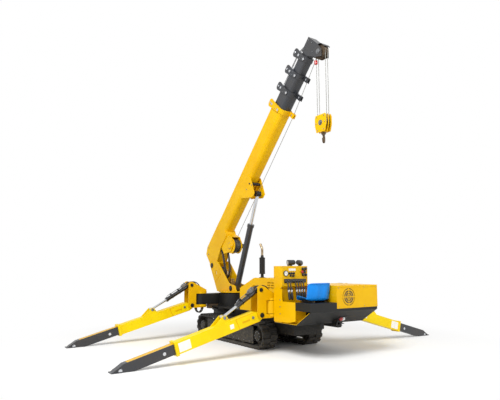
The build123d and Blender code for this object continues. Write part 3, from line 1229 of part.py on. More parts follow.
def hood_bay(low_y, high_y, top_z, nose_z, inset, mode):
    """Adds or cuts one bay between two Y planes; inset draws its outline inside the sheet."""
    outline = profile(
        SIDE_VIEW.offset(-low_y),
        (HOOD_REAR_X + inset, BEAM_TOP_Z),
        (HOOD_REAR_X + inset, top_z - inset),
        (HOOD_SLOPE_X - inset / 2, top_z - inset),
        (HOOD_FRONT_X - inset, nose_z - inset),
        (HOOD_FRONT_X - inset, DECK_Z),
        (HOOD_STEP_X, DECK_Z),
        (HOOD_STEP_X, BEAM_TOP_Z),
    )
    extrude(outline, amount=low_y - high_y, mode=mode)


with BuildPart() as hood:
    left = DECK_HALF_WIDTH
    split = HOOD_SPLIT_Y
    hood_bay(split, left, HOOD_TOP_Z, HOOD_NOSE_Z, 0, Mode.ADD)
    hood_bay(-left, split, HOOD_LOW_TOP_Z, HOOD_LOW_NOSE_Z, 0, Mode.ADD)
    hood_bay(split + HOOD_WALL, left - HOOD_WALL, HOOD_TOP_Z, HOOD_NOSE_Z, HOOD_WALL, Mode.SUBTRACT)
    hood_bay(HOOD_WALL - left, split + HOOD_WALL, HOOD_LOW_TOP_Z, HOOD_LOW_NOSE_Z, HOOD_WALL, Mode.SUBTRACT)
    for y, first_z in ((left, LOUVRE_LEFT_Z), (-left, LOUVRE_RIGHT_Z)):
        for row in range(LOUVRE_ROWS):
            with Locations((LOUVRE_X, y, first_z + row * LOUVRE_PITCH_Z)):
                with GridLocations(LOUVRE_PITCH_X, 1, 2, 1):
                    Box(LOUVRE_LENGTH, 3 * HOOD_WALL, LOUVRE_HEIGHT, mode=Mode.SUBTRACT)
save(hood, "hood")

with BuildPart() as engine_block:
    with Locations((ENGINE_X, 0, (DECK_Z + ENGINE_TOP_Z) / 2)):
        Box(ENGINE_LENGTH, ENGINE_WIDTH, ENGINE_TOP_Z - DECK_Z)
save(engine_block, "engine_block")

# Exhaust: stub and muffler, with a bent tail pipe on top
with BuildPart() as exhaust:
    with Locations((EXHAUST_X, EXHAUST_Y, (HOOD_TOP_Z + MUFFLER_BOTTOM_Z) / 2)):
        Cylinder(TAILPIPE_RADIUS, MUFFLER_BOTTOM_Z - HOOD_TOP_Z)
    with Locations((EXHAUST_X, EXHAUST_Y, (MUFFLER_TOP_Z + MUFFLER_BOTTOM_Z) / 2)):
        Cylinder(MUFFLER_RADIUS, MUFFLER_TOP_Z - MUFFLER_BOTTOM_Z)
save(exhaust, "exhaust")

with BuildPart() as tail_pipe:
    with BuildLine() as pipe:
        FilletPolyline(
            (EXHAUST_X, EXHAUST_Y, MUFFLER_TOP_Z),
            (EXHAUST_X, EXHAUST_Y, TAILPIPE_TOP_Z - TAILPIPE_BEND_RISE),
            (EXHAUST_X + TAILPIPE_BEND, EXHAUST_Y, TAILPIPE_TOP_Z),
            radius=TAILPIPE_BEND,
        )
    with BuildSketch(Plane(origin=pipe.line @ 0, z_dir=pipe.line % 0)):
        Circle(TAILPIPE_RADIUS)
    sweep(path=pipe.line)
save(tail_pipe, "tail_pipe")

# Tow hitch: a three-cornered plate with an eye, held to the stern's slope by a fin
STERN_SLOPE = (TUB_BOTTOM_X - STERN_X) / (STERN_BEND_Z - TUB_BOTTOM_Z)
HITCH_X = TUB_BOTTOM_X - STERN_SLOPE * (HITCH_TOP_Z - TUB_BOTTOM_Z)
HITCH_FIN_X = TUB_BOTTOM_X - STERN_SLOPE * (HITCH_FIN_TOP_Z - TUB_BOTTOM_Z)
with BuildPart() as hitch:
    face = Plane(origin=(HITCH_X, HITCH_Y, 0), x_dir=(0, 1, 0), z_dir=(1, 0, 0))
    plate = profile(
        face,
        (-HITCH_HALF_WIDTH, HITCH_LOW_Z),
        (HITCH_HALF_WIDTH, HITCH_LOW_Z),
        (HITCH_PLATE, HITCH_TOP_Z),
        (-HITCH_PLATE, HITCH_TOP_Z),
    )
    extrude(plate, amount=-HITCH_PLATE)
    eye = link(face, (0, HITCH_LOW_Z + HITCH_EYE_RISE, HITCH_EYE_RADIUS))
    extrude(eye, amount=-HITCH_PLATE, mode=Mode.SUBTRACT)
    for side in (1, -1):
        fin = profile(
            SIDE_VIEW.offset(-HITCH_Y - side * 2 * HITCH_PLATE),
            (HITCH_X, HITCH_TOP_Z),
            (HITCH_FIN_X, HITCH_FIN_TOP_Z),
            (HITCH_X + HITCH_FIN_BACK, HITCH_LOW_Z),
            (HITCH_X, HITCH_LOW_Z),
        )
        extrude(fin, amount=HITCH_PLATE / 2, both=True)
save(hitch, "tow_hitch")
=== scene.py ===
"""Dresses the tracked mini crane: finishes, small fittings, ropes, hoses and the studio around it."""
import json
import logging
import math
from dataclasses import dataclass, field
from enum import Enum
from typing import Iterable, Sequence

import bmesh
import bpy
from mathutils import Matrix, Vector


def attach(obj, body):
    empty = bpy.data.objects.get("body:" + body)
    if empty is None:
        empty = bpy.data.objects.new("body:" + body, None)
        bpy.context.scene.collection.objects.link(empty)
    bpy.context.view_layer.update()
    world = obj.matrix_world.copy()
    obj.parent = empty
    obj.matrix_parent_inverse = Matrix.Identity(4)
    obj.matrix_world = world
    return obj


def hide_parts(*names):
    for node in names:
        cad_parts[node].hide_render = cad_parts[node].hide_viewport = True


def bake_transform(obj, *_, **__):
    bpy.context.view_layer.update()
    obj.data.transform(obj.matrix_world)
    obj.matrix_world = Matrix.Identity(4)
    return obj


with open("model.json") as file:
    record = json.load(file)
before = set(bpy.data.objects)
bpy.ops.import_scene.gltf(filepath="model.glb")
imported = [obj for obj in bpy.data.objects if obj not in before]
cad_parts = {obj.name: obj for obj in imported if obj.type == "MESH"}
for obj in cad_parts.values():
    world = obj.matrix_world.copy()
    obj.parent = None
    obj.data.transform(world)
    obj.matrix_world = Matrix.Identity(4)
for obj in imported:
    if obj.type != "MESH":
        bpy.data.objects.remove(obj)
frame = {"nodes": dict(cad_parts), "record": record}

LOG = logging.getLogger("crane")
MM = 0.001
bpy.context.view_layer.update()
X_AXIS = Vector((1.0, 0.0, 0.0))
Y_AXIS = Vector((0.0, 1.0, 0.0))
Z_AXIS = Vector((0.0, 0.0, 1.0))
SIDES = (1, -1)
# How far, in mm, bolts and turned fittings sit in the face that carries them,
# so that no light shows under them
BOLT_SINK = 0.5
SINK = 1.0
HEXAGON = 6
WELD_STEP = 16.0
SHARP_DEG = 35.0
# The colour sockets of the Mix node, which share their names with its other kinds
MIX_A, MIX_B, MIX_OUT = 6, 7, 2

Section = list[tuple[float, float]]
Profile = tuple[tuple[float, float], ...]  # height and radius of each edge of a turned solid, in mm
Places = tuple[tuple[float, float], ...]  # two coordinates of each place on a face, in mm


def to_linear(hex_colour: str) -> tuple[float, float, float, float]:
    """Turns an sRGB hex colour into linear light.

    Args:
        hex_colour: six hex digits, red first.

    Returns:
        Linear red, green, blue and an alpha of 1.
    """
    parts = [int(hex_colour[i:i + 2], 16) / 255 for i in (0, 2, 4)]
    linear = [c / 12.92 if c <= 0.04045 else ((c + 0.055) / 1.055) ** 2.4 for c in parts]
    return (*linear, 1.0)


def add_node(
    tree: bpy.types.NodeTree, kind: str, settings: dict | None = None, links: dict | None = None
) -> bpy.types.Node:
    """Adds a node with its settings and the links into its sockets.

    Args:
        tree: the node tree that gets the node.
        kind: the node's type name.
        settings: attribute names, or input names and numbers, and their values.
        links: input names or numbers, and the output socket that feeds each.

    Returns:
        The new node.
    """
    node = tree.nodes.new(kind)
    for key, value in (settings or {}).items():
        if isinstance(key, str) and hasattr(node, key):
            setattr(node, key, value)
        else:
            node.inputs[key].default_value = value
    for key, socket in (links or {}).items():
        tree.links.new(socket, node.inputs[key])
    return node


class Grain(Enum):
    """How a surface was made, which sets its pattern."""

    SPRAYED = "sprayed"
    MOULDED = "moulded"
    CAST = "cast"
    DRAWN = "drawn"
    STRANDED = "stranded"


@dataclass(frozen=True)
class Finish:
    """A real material and how its surface was made; sizes in mm, dust height in metres."""

    name: str
    slot: str
    colour: str
    shade: str
    grain: Grain = Grain.SPRAYED
    grain_mm: float = 3.0
    bump: float = 0.05
    blotch_mm: float = 400.0
    roughness: float = 0.4
    roughness_swing: float = 0.1
    metallic: float = 0.0
    ior: float = 1.5
    coat: float = 0.0
    coat_roughness: float = 0.08
    specular: float = 0.5
    dust: str = ""
    dust_height: float = 0.0
    speck_mm: float = 35.0
    blotch_range: tuple[float, float] = (0.35, 0.7)
    speck_range: tuple[float, float] = (0.4, 0.75)
    draw_stretch: float = 0.06
    strands_per_wave: float = 6.0

    def build(self) -> bpy.types.Material:
        """Makes the material.

        Returns:
            The material with its nodes.
        """
        material = bpy.data.materials.new(self.name)
        material.use_nodes = True
        tree = material.node_tree
        tree.nodes.clear()
        place = add_node(tree, "ShaderNodeTexCoord").outputs["Object"]
        blotch = add_node(
            tree,
            "ShaderNodeTexNoise",
            {"Scale": 1 / (self.blotch_mm * MM), "Detail": 5.0, "Roughness": 0.6},
            {"Vector": place},
        ).outputs["Fac"]
        tint = add_node(
            tree,
            "ShaderNodeMapRange",
            {"From Min": self.blotch_range[0], "From Max": self.blotch_range[1]},
            {"Value": blotch},
        )
        colour = add_node(
            tree,
            "ShaderNodeMix",
            {"data_type": "RGBA", MIX_A: to_linear(self.colour), MIX_B: to_linear(self.shade)},
            {0: tint.outputs["Result"]},
        ).outputs[MIX_OUT]
        if self.dust:
            colour = self.dusted(tree, place, colour)
        half_swing = self.roughness_swing / 2
        rough = add_node(
            tree,
            "ShaderNodeMapRange",
            {"To Min": self.roughness - half_swing, "To Max": self.roughness + half_swing},
            {"Value": blotch},
        )
        bump = add_node(
            tree,
            "ShaderNodeBump",
            {"Strength": self.bump, "Distance": self.grain_mm * MM},
            {"Height": self.relief(tree, place)},
        )
        shader = add_node(
            tree,
            "ShaderNodeBsdfPrincipled",
            {
                "Metallic": self.metallic,
                "IOR": self.ior,
                "Specular IOR Level": self.specular,
                "Coat Weight": self.coat,
                "Coat Roughness": self.coat_roughness,
            },
            {"Base Color": colour, "Roughness": rough.outputs["Result"], "Normal": bump.outputs["Normal"]},
        )
        add_node(tree, "ShaderNodeOutputMaterial", None, {"Surface": shader.outputs["BSDF"]})
        return material

    def dusted(
        self, tree: bpy.types.NodeTree, place: bpy.types.NodeSocket, colour: bpy.types.NodeSocket
    ) -> bpy.types.NodeSocket:
        """Lays ground dust in specks over the colour, thinning out with height.

        Args:
            tree: the material's node tree.
            place: the socket with the object's coordinates.
            colour: the clean colour.

        Returns:
            The socket with the dusty colour.
        """
        where = add_node(tree, "ShaderNodeNewGeometry").outputs["Position"]
        height = add_node(tree, "ShaderNodeSeparateXYZ", None, {"Vector": where}).outputs["Z"]
        fade = add_node(
            tree, "ShaderNodeMapRange", {"From Min": self.dust_height, "From Max": 0.0}, {"Value": height}
        )
        specks = add_node(
            tree,
            "ShaderNodeTexNoise",
            {"Scale": 1 / (self.speck_mm * MM), "Detail": 6.0, "Roughness": 0.7},
            {"Vector": place},
        )
        patch = add_node(
            tree,
            "ShaderNodeMapRange",
            {"From Min": self.speck_range[0], "From Max": self.speck_range[1]},
            {"Value": specks.outputs["Fac"]},
        )
        amount = add_node(
            tree,
            "ShaderNodeMath",
            {"operation": "MULTIPLY"},
            {0: fade.outputs["Result"], 1: patch.outputs["Result"]},
        )
        dusty = add_node(
            tree,
            "ShaderNodeMix",
            {"data_type": "RGBA", MIX_B: to_linear(self.dust)},
            {0: amount.outputs[0], MIX_A: colour},
        )
        return dusty.outputs[MIX_OUT]

    def relief(self, tree: bpy.types.NodeTree, place: bpy.types.NodeSocket) -> bpy.types.NodeSocket:
        """Adds the surface's small relief.

        Args:
            tree: the material's node tree.
            place: the socket with the object's coordinates.

        Returns:
            The height socket.
        """
        scale = 1 / (self.grain_mm * MM)
        if self.grain is Grain.STRANDED:
            wave = {"wave_type": "BANDS", "bands_direction": "DIAGONAL", "Distortion": 0.4}
            wave["Scale"] = scale / self.strands_per_wave
            return add_node(tree, "ShaderNodeTexWave", wave, {"Vector": place}).outputs["Fac"]
        if self.grain is Grain.CAST:
            cells = {"Scale": scale, "feature": "SMOOTH_F1"}
            return add_node(tree, "ShaderNodeTexVoronoi", cells, {"Vector": place}).outputs["Distance"]
        noise = {"Scale": scale, "Detail": 2.0, "Roughness": 0.5}
        if self.grain is Grain.DRAWN:
            noise["Detail"] = 3.0
            stretch = {"Scale": (1.0, 1.0, self.draw_stretch)}
            place = add_node(tree, "ShaderNodeMapping", stretch, {"Vector": place}).outputs["Vector"]
        return add_node(tree, "ShaderNodeTexNoise", noise, {"Vector": place}).outputs["Fac"]


class Coat(Enum):
    """The crane's finishes. Grains finer than a few millimetres are drawn coarser, so that they show."""

    # Machine enamel, sprayed and baked: even warm yellow with a faint orange-peel gloss
    YELLOW = Finish(
        "yellow_enamel", "yellow_paint", "E2B200", "DAA500",
        grain_mm=2.5, bump=0.03, roughness=0.4, coat=0.04, specular=0.15, dust="B89A5A", dust_height=0.45,
    )
    # The same enamel in a fresher batch on the outriggers: cooler lemon yellow
    LEMON = Finish(
        "lemon_enamel", "lemon_paint", "EED204", "E8C402",
        grain_mm=2.5, bump=0.03, roughness=0.42, coat=0.04, specular=0.15, dust="B8A262", dust_height=0.25,
    )
    # Two-part black paint, satin: dark with a soft grey sheen on edges and top faces
    BLACK = Finish(
        "black_chassis_paint", "black_paint", "161616", "1E1E1C",
        grain_mm=2.0, bump=0.06, roughness=0.46, roughness_swing=0.16, specular=0.25,
        dust="6B6152", dust_height=0.5,
    )
    # The same paint flatted and lacquered on the leg cylinders: black mirror with a sharp white streak
    GLOSS = Finish(
        "lacquered_cylinder_paint", "black_paint", "141416", "1A1A1C",
        grain_mm=2.0, bump=0.01, roughness=0.16, roughness_swing=0.06, coat=0.6,
    )
    # Charcoal paint over milled boom steel: bluish black, smoother than the chassis
    CHARCOAL = Finish(
        "charcoal_boom_paint", "dark_steel", "262A31", "322F2D",
        grain_mm=3.0, bump=0.03, roughness=0.38, roughness_swing=0.14, coat=0.12,
    )
    # Hard-chromed rod, ground and polished: bright mirror with faint turning lines
    CHROME = Finish(
        "chromed_rod", "rod_chrome", "D4D6D9", "C4C7CB", Grain.DRAWN,
        grain_mm=1.5, bump=0.02, roughness=0.12, roughness_swing=0.05, metallic=1.0,
    )
    # Drawn steel pipe, stained by heat: dull straw to brown-grey with a weak shine
    PIPE = Finish(
        "heat_stained_pipe", "rod_chrome", "8A7558", "A99A80", Grain.DRAWN,
        grain_mm=2.0, bump=0.04, blotch_mm=60.0, roughness=0.38, roughness_swing=0.12, metallic=0.85,
    )
    # Carbon-black track rubber, press-moulded: matt, greyed by ground dust
    RUBBER = Finish(
        "track_rubber", "track_rubber", "1E1D1C", "2B2926", Grain.MOULDED,
        grain_mm=4.0, bump=0.25, blotch_mm=120.0, roughness=0.82, roughness_swing=0.12, ior=1.52,
        dust="5E564A", dust_height=0.4,
    )
    # Polypropylene seat shell, injection-moulded: satin blue with a fine leather grain
    SEAT = Finish(
        "seat_polypropylene", "blue_seat", "0A88E4", "0A7CD4", Grain.MOULDED,
        grain_mm=1.6, bump=0.08, blotch_mm=300.0, roughness=0.42, roughness_swing=0.08,
        ior=1.49, specular=0.25,
    )
    # Grey iron, sand-cast: brown-grey, grainy and dull
    IRON = Finish(
        "sand_cast_iron", "cast_iron", "54483C", "6B5A46", Grain.CAST,
        grain_mm=4.0, bump=0.2, blotch_mm=80.0, roughness=0.6, roughness_swing=0.15, metallic=0.6,
    )
    # Galvanised steel rope, laid in strands: pale grey with a diagonal lay
    ROPE = Finish(
        "steel_rope", "rope_steel", "A4A49E", "85847D", Grain.STRANDED,
        grain_mm=4.0, bump=0.6, blotch_mm=60.0, roughness=0.5, metallic=0.75,
    )
    # The same rope made nearly black: greased on the extension ropes; on the drum the darkness is painted
    # shade under the winch's roof
    DARK_ROPE = Finish(
        "greased_rope_and_drum_shade", "rope_steel", "3A3936", "4A4843", Grain.STRANDED,
        grain_mm=4.0, bump=0.5, blotch_mm=60.0, roughness=0.45, roughness_swing=0.15, metallic=0.5,
    )
    # Zinc-plated steel, tumbled: pale grey bolts and pins with a soft shine
    ZINC = Finish(
        "zinc_plated_steel", "rod_chrome", "8E9094", "767878",
        grain_mm=1.5, bump=0.05, blotch_mm=60.0, roughness=0.36, roughness_swing=0.12, metallic=0.9,
    )
    # Synthetic rubber hose over wire braid, extruded: dull black. The same black is painted shade in and
    # behind the vent's slots
    HOSE_AND_SLOT_SHADE = Finish(
        "hose_rubber_and_slot_shade", "black_paint", "1B1B1B", "262524", Grain.MOULDED,
        grain_mm=1.2, bump=0.1, blotch_mm=80.0, roughness=0.6, ior=1.52,
    )
    # Glass-filled nylon, moulded: black grips and switch bodies with a satin sheen
    GRIP = Finish(
        "moulded_nylon", "black_paint", "1A1A1B", "232324", Grain.MOULDED,
        grain_mm=1.2, bump=0.08, blotch_mm=90.0, roughness=0.42, ior=1.53,
    )
    # Printed vinyl film left blank: clean white with a faint gloss
    LABEL = Finish(
        "white_vinyl_film", "lemon_paint", "F0EEE6", "E4E1D6", Grain.MOULDED,
        grain_mm=1.0, bump=0.02, blotch_mm=90.0, roughness=0.35, roughness_swing=0.08, ior=1.54,
    )
    # Dyed acrylic and red enamel: saturated red with a clear gloss
    RED = Finish(
        "red_acrylic", "yellow_paint", "B3150F", "9C100C",
        grain_mm=2.0, bump=0.02, blotch_mm=80.0, roughness=0.22, roughness_swing=0.06, ior=1.49, coat=0.5,
    )
    # Clear acrylic over a white reflector: bright grey-white gloss
    LENS = Finish(
        "clear_acrylic_lens", "rod_chrome", "DADDDE", "C8CCCE", Grain.MOULDED,
        grain_mm=5.0, bump=0.15, blotch_mm=60.0, roughness=0.14, roughness_swing=0.04, ior=1.49, coat=0.6,
    )
    # Cast bronze, turned: dull gold-brown swivel and fittings
    BRASS = Finish(
        "turned_bronze", "cast_iron", "9A7B45", "7E6236", Grain.DRAWN,
        grain_mm=2.0, bump=0.05, blotch_mm=70.0, roughness=0.4, roughness_swing=0.12, metallic=0.85,
    )


class Finishes:
    """Builds each finish once and hands it out."""

    def __init__(self) -> None:
        """Starts with no finish built."""
        self._made: dict[Coat, bpy.types.Material] = {}

    def __getitem__(self, coat: Coat) -> bpy.types.Material:
        """Returns the material of a coat, made when first asked for."""
        if coat not in self._made:
            self._made[coat] = coat.value.build()
        return self._made[coat]


FINISHES = Finishes()


def coat_object(piece: bpy.types.Object, coat: Coat) -> None:
    """Gives every slot of an object one finish.

    Args:
        piece: the object.
        coat: the finish.
    """
    piece.data.materials.clear()
    piece.data.materials.append(FINISHES[coat])


def break_edges(piece: bpy.types.Object, width_mm: float) -> None:
    """Breaks an object's sharp edges so that they catch the light.

    Args:
        piece: the object.
        width_mm: the width of the break.
    """
    bevel = piece.modifiers.new("edge_break", "BEVEL")
    bevel.width = width_mm * MM
    bevel.segments = 2
    bevel.limit_method = "ANGLE"
    bevel.angle_limit = math.radians(40)
    bevel.harden_normals = True


def mm(x: float, y: float, z: float) -> Vector:
    """Returns a point in metres from millimetres."""
    return Vector((x * MM, y * MM, z * MM))


def on_circle(radius: float, angle: float) -> tuple[float, float]:
    """Returns the two coordinates of the point at an angle on a circle."""
    return radius * math.cos(angle), radius * math.sin(angle)


def ring(radius: float, sides: int = 12) -> Section:
    """Returns the corners of a round section."""
    return [on_circle(radius, k * math.tau / sides) for k in range(sides)]


def strands(radius: float, count: int = 6, hollow: float = 0.8) -> Section:
    """Returns the corners of a rope's section, with a hollow between each two strands."""
    return [on_circle(radius * (hollow if k % 2 else 1.0), k * math.pi / count) for k in range(2 * count)]


def box(low: tuple[float, float], high: tuple[float, float]) -> Places:
    """Returns the four corners of a rectangle, in order, from its low and its high corner."""
    return low, (high[0], low[1]), high, (low[0], high[1])


def scaled(profile: Profile, radius: float) -> Profile:
    """Returns a turned profile in mm from one whose radii are shares of one radius."""
    return tuple((height, share * radius) for height, share in profile)


def smooth_run(route: Sequence[Vector], order: int = 4) -> list[Vector]:
    """Reads the points of the smooth line that a hose takes along its route.

    Args:
        route: the control points, from one fitting to the other.
        order: the order of the NURBS spline.

    Returns:
        Points along the spline.
    """
    curve = bpy.data.curves.new("hose_route", "CURVE")
    curve.dimensions = "3D"
    curve.resolution_u = 6
    spline = curve.splines.new("NURBS")
    spline.points.add(len(route) - 1)
    for point, place in zip(spline.points, route):
        point.co = (*place, 1.0)
    spline.order_u = order
    spline.use_endpoint_u = True
    holder = bpy.data.objects.new("hose_route", curve)
    line = bpy.data.meshes.new_from_object(holder)
    points = [corner.co.copy() for corner in line.vertices]
    bpy.data.objects.remove(holder)
    bpy.data.curves.remove(curve)
    bpy.data.meshes.remove(line)
    return points


def even_run(start: Vector, end: Vector, step_mm: float = 12.0) -> list[Vector]:
    """Returns points at even steps on a straight rope."""
    count = max(2, round((end - start).length / (step_mm * MM)))
    return [start.lerp(end, k / count) for k in range(count + 1)]


class Shape:
    """A mesh being made, in metres in the crane's frame."""

    # Profiles in shares of the thread's or the hose's radius
    washer: Profile = ((0.15, 1.0),)
    bolt_head: Profile = ((0.1, 0.86), (0.65, 0.86), (0.75, 0.7))
    ferrule: Profile = ((0.0, 1.2), (4.0, 1.35), (4.3, 1.1))

    def __init__(self) -> None:
        """Starts an empty mesh."""
        self.mesh = bmesh.new()

    def slab(self, outline: Sequence[Vector], thickness: Vector) -> "Shape":
        """Adds a flat plate.

        Args:
            outline: the corners of its middle plane, in order.
            thickness: from its one face to the other.

        Returns:
            This shape.
        """
        low = [self.mesh.verts.new(corner - thickness / 2) for corner in outline]
        high = [self.mesh.verts.new(corner + thickness / 2) for corner in outline]
        self.mesh.faces.new(low)
        self.mesh.faces.new(high)
        self.skin([low, high])
        return self

    def block(self, centre: Vector, size: Vector, turn: Matrix | None = None) -> "Shape":
        """Adds a block by its centre, its size and its turn.

        Args:
            centre: the middle of the block.
            size: its three sides.
            turn: its turn, or None for one that is square to the frame.

        Returns:
            This shape.
        """
        turn = turn or Matrix.Identity(3)
        half = size / 2
        corners = box((-half.x, -half.y), (half.x, half.y))
        outline = [centre + turn @ Vector((a, b, 0.0)) for a, b in corners]
        return self.slab(outline, turn @ Vector((0.0, 0.0, size.z)))

    def skin(self, rows: Sequence[Sequence[bmesh.types.BMVert]]) -> None:
        """Joins closed rows of corners, each to the next, with four-sided faces."""
        for low, high in zip(rows, rows[1:]):
            for k in range(len(low)):
                after = (k + 1) % len(low)
                self.mesh.faces.new((low[k], low[after], high[after], high[k]))

    def turned(self, base: Vector, axis: Vector, steps: Profile, sides: int = 32) -> "Shape":
        """Adds a turned solid.

        Args:
            base: the point on the axis where heights start.
            axis: the way the heights run.
            steps: height and radius of each edge, in millimetres, from one end to the other.
            sides: flats round it; 6 gives a hexagon head.

        Returns:
            This shape.
        """
        turn = axis.to_track_quat("Z", "Y").to_matrix()
        rows = []
        for height, radius in steps:
            places = [base + turn @ mm(x, y, height) for x, y in ring(radius, sides)]
            rows.append([self.mesh.verts.new(place) for place in places])
        self.skin(rows)
        self.mesh.faces.new(rows[0])
        self.mesh.faces.new(rows[-1])
        return self

    def bolt(self, place: Vector, axis: Vector, size: float) -> "Shape":
        """Adds a hexagon bolt on its washer; size is the thread in millimetres."""
        washer = [(height * size, share * size) for height, share in self.washer]
        head = [(height * size, share * size) for height, share in self.bolt_head]
        self.turned(place, axis, ((-SINK, size), *washer), 20)
        return self.turned(place, axis, head, HEXAGON)

    def bolts(
        self, centre: Vector, out: Vector, circle: float, count: int, size: float, first: float = 0.0
    ) -> "Shape":
        """Adds bolts at even steps on a circle, on a face square to Y or to Z.

        Args:
            centre: the circle's middle.
            out: the way the bolts look.
            circle: the circle's radius in millimetres.
            count: how many bolts.
            size: the thread in millimetres.
            first: the angle of the first bolt, in radians.

        Returns:
            This shape.
        """
        for k in range(count):
            a, b = on_circle(circle, first + math.tau * k / count)
            self.bolt(centre + (mm(a, b, 0.0) if abs(out.z) > abs(out.y) else mm(a, 0.0, b)), out, size)
        return self

    def swept(self, path: Sequence[Vector], section: Section, lay: float = 0.0) -> "Shape":
        """Sweeps a section along a path without twisting it, or with a rope's lay.

        Args:
            path: points along the middle, in metres.
            section: corners of the section, in millimetres.
            lay: turns per metre.

        Returns:
            This shape.
        """
        rows = []
        side = None
        run = 0.0
        for k, point in enumerate(path):
            ahead = path[min(k + 1, len(path) - 1)] - path[max(k - 1, 0)]
            ahead.normalize()
            if side is None:
                side = ahead.orthogonal().normalized()
            else:
                run += (point - path[k - 1]).length
                side = (side - ahead * side.dot(ahead)).normalized()
            other = ahead.cross(side)
            turn = run * lay * math.tau
            row = []
            for x, y in section:
                across = x * math.cos(turn) - y * math.sin(turn)
                up = x * math.sin(turn) + y * math.cos(turn)
                row.append(self.mesh.verts.new(point + (side * across + other * up) * MM))
            rows.append(row)
        self.skin(rows)
        self.mesh.faces.new(rows[0])
        self.mesh.faces.new(rows[-1])
        return self

    def hose(self, route: Sequence[Vector], radius: float = 9.0) -> "Shape":
        """Adds a hose along a route, with a crimped ferrule at each end; radius in millimetres."""
        line = smooth_run(route)
        self.swept(line, ring(radius))
        ferrule = [(height * radius, share * radius) for height, share in self.ferrule]
        for place, beyond in ((line[0], line[2]), (line[-1], line[-3])):
            self.turned(place, beyond - place, ferrule, 12)
        return self

    def piece(self, name: str, coat: Coat, body: str = "", edge_mm: float = 0.0) -> bpy.types.Object:
        """Turns the shape into a coated object.

        Args:
            name: the object's name.
            coat: its finish.
            body: the body that it rides on, or nothing for a piece that rides on no body.
            edge_mm: width of its broken edges, 0 for none.

        Returns:
            The object.
        """
        bmesh.ops.recalc_face_normals(self.mesh, faces=self.mesh.faces)
        mesh = bpy.data.meshes.new(name)
        self.mesh.to_mesh(mesh)
        self.mesh.free()
        mesh.shade_smooth()
        mesh.set_sharp_from_angle(angle=math.radians(SHARP_DEG))
        made = bpy.data.objects.new(name, mesh)
        bpy.context.scene.collection.objects.link(made)
        coat_object(made, coat)
        if edge_mm:
            break_edges(made, edge_mm)
        if body:
            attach(made, body)
        LOG.info("made %s", name)
        return made


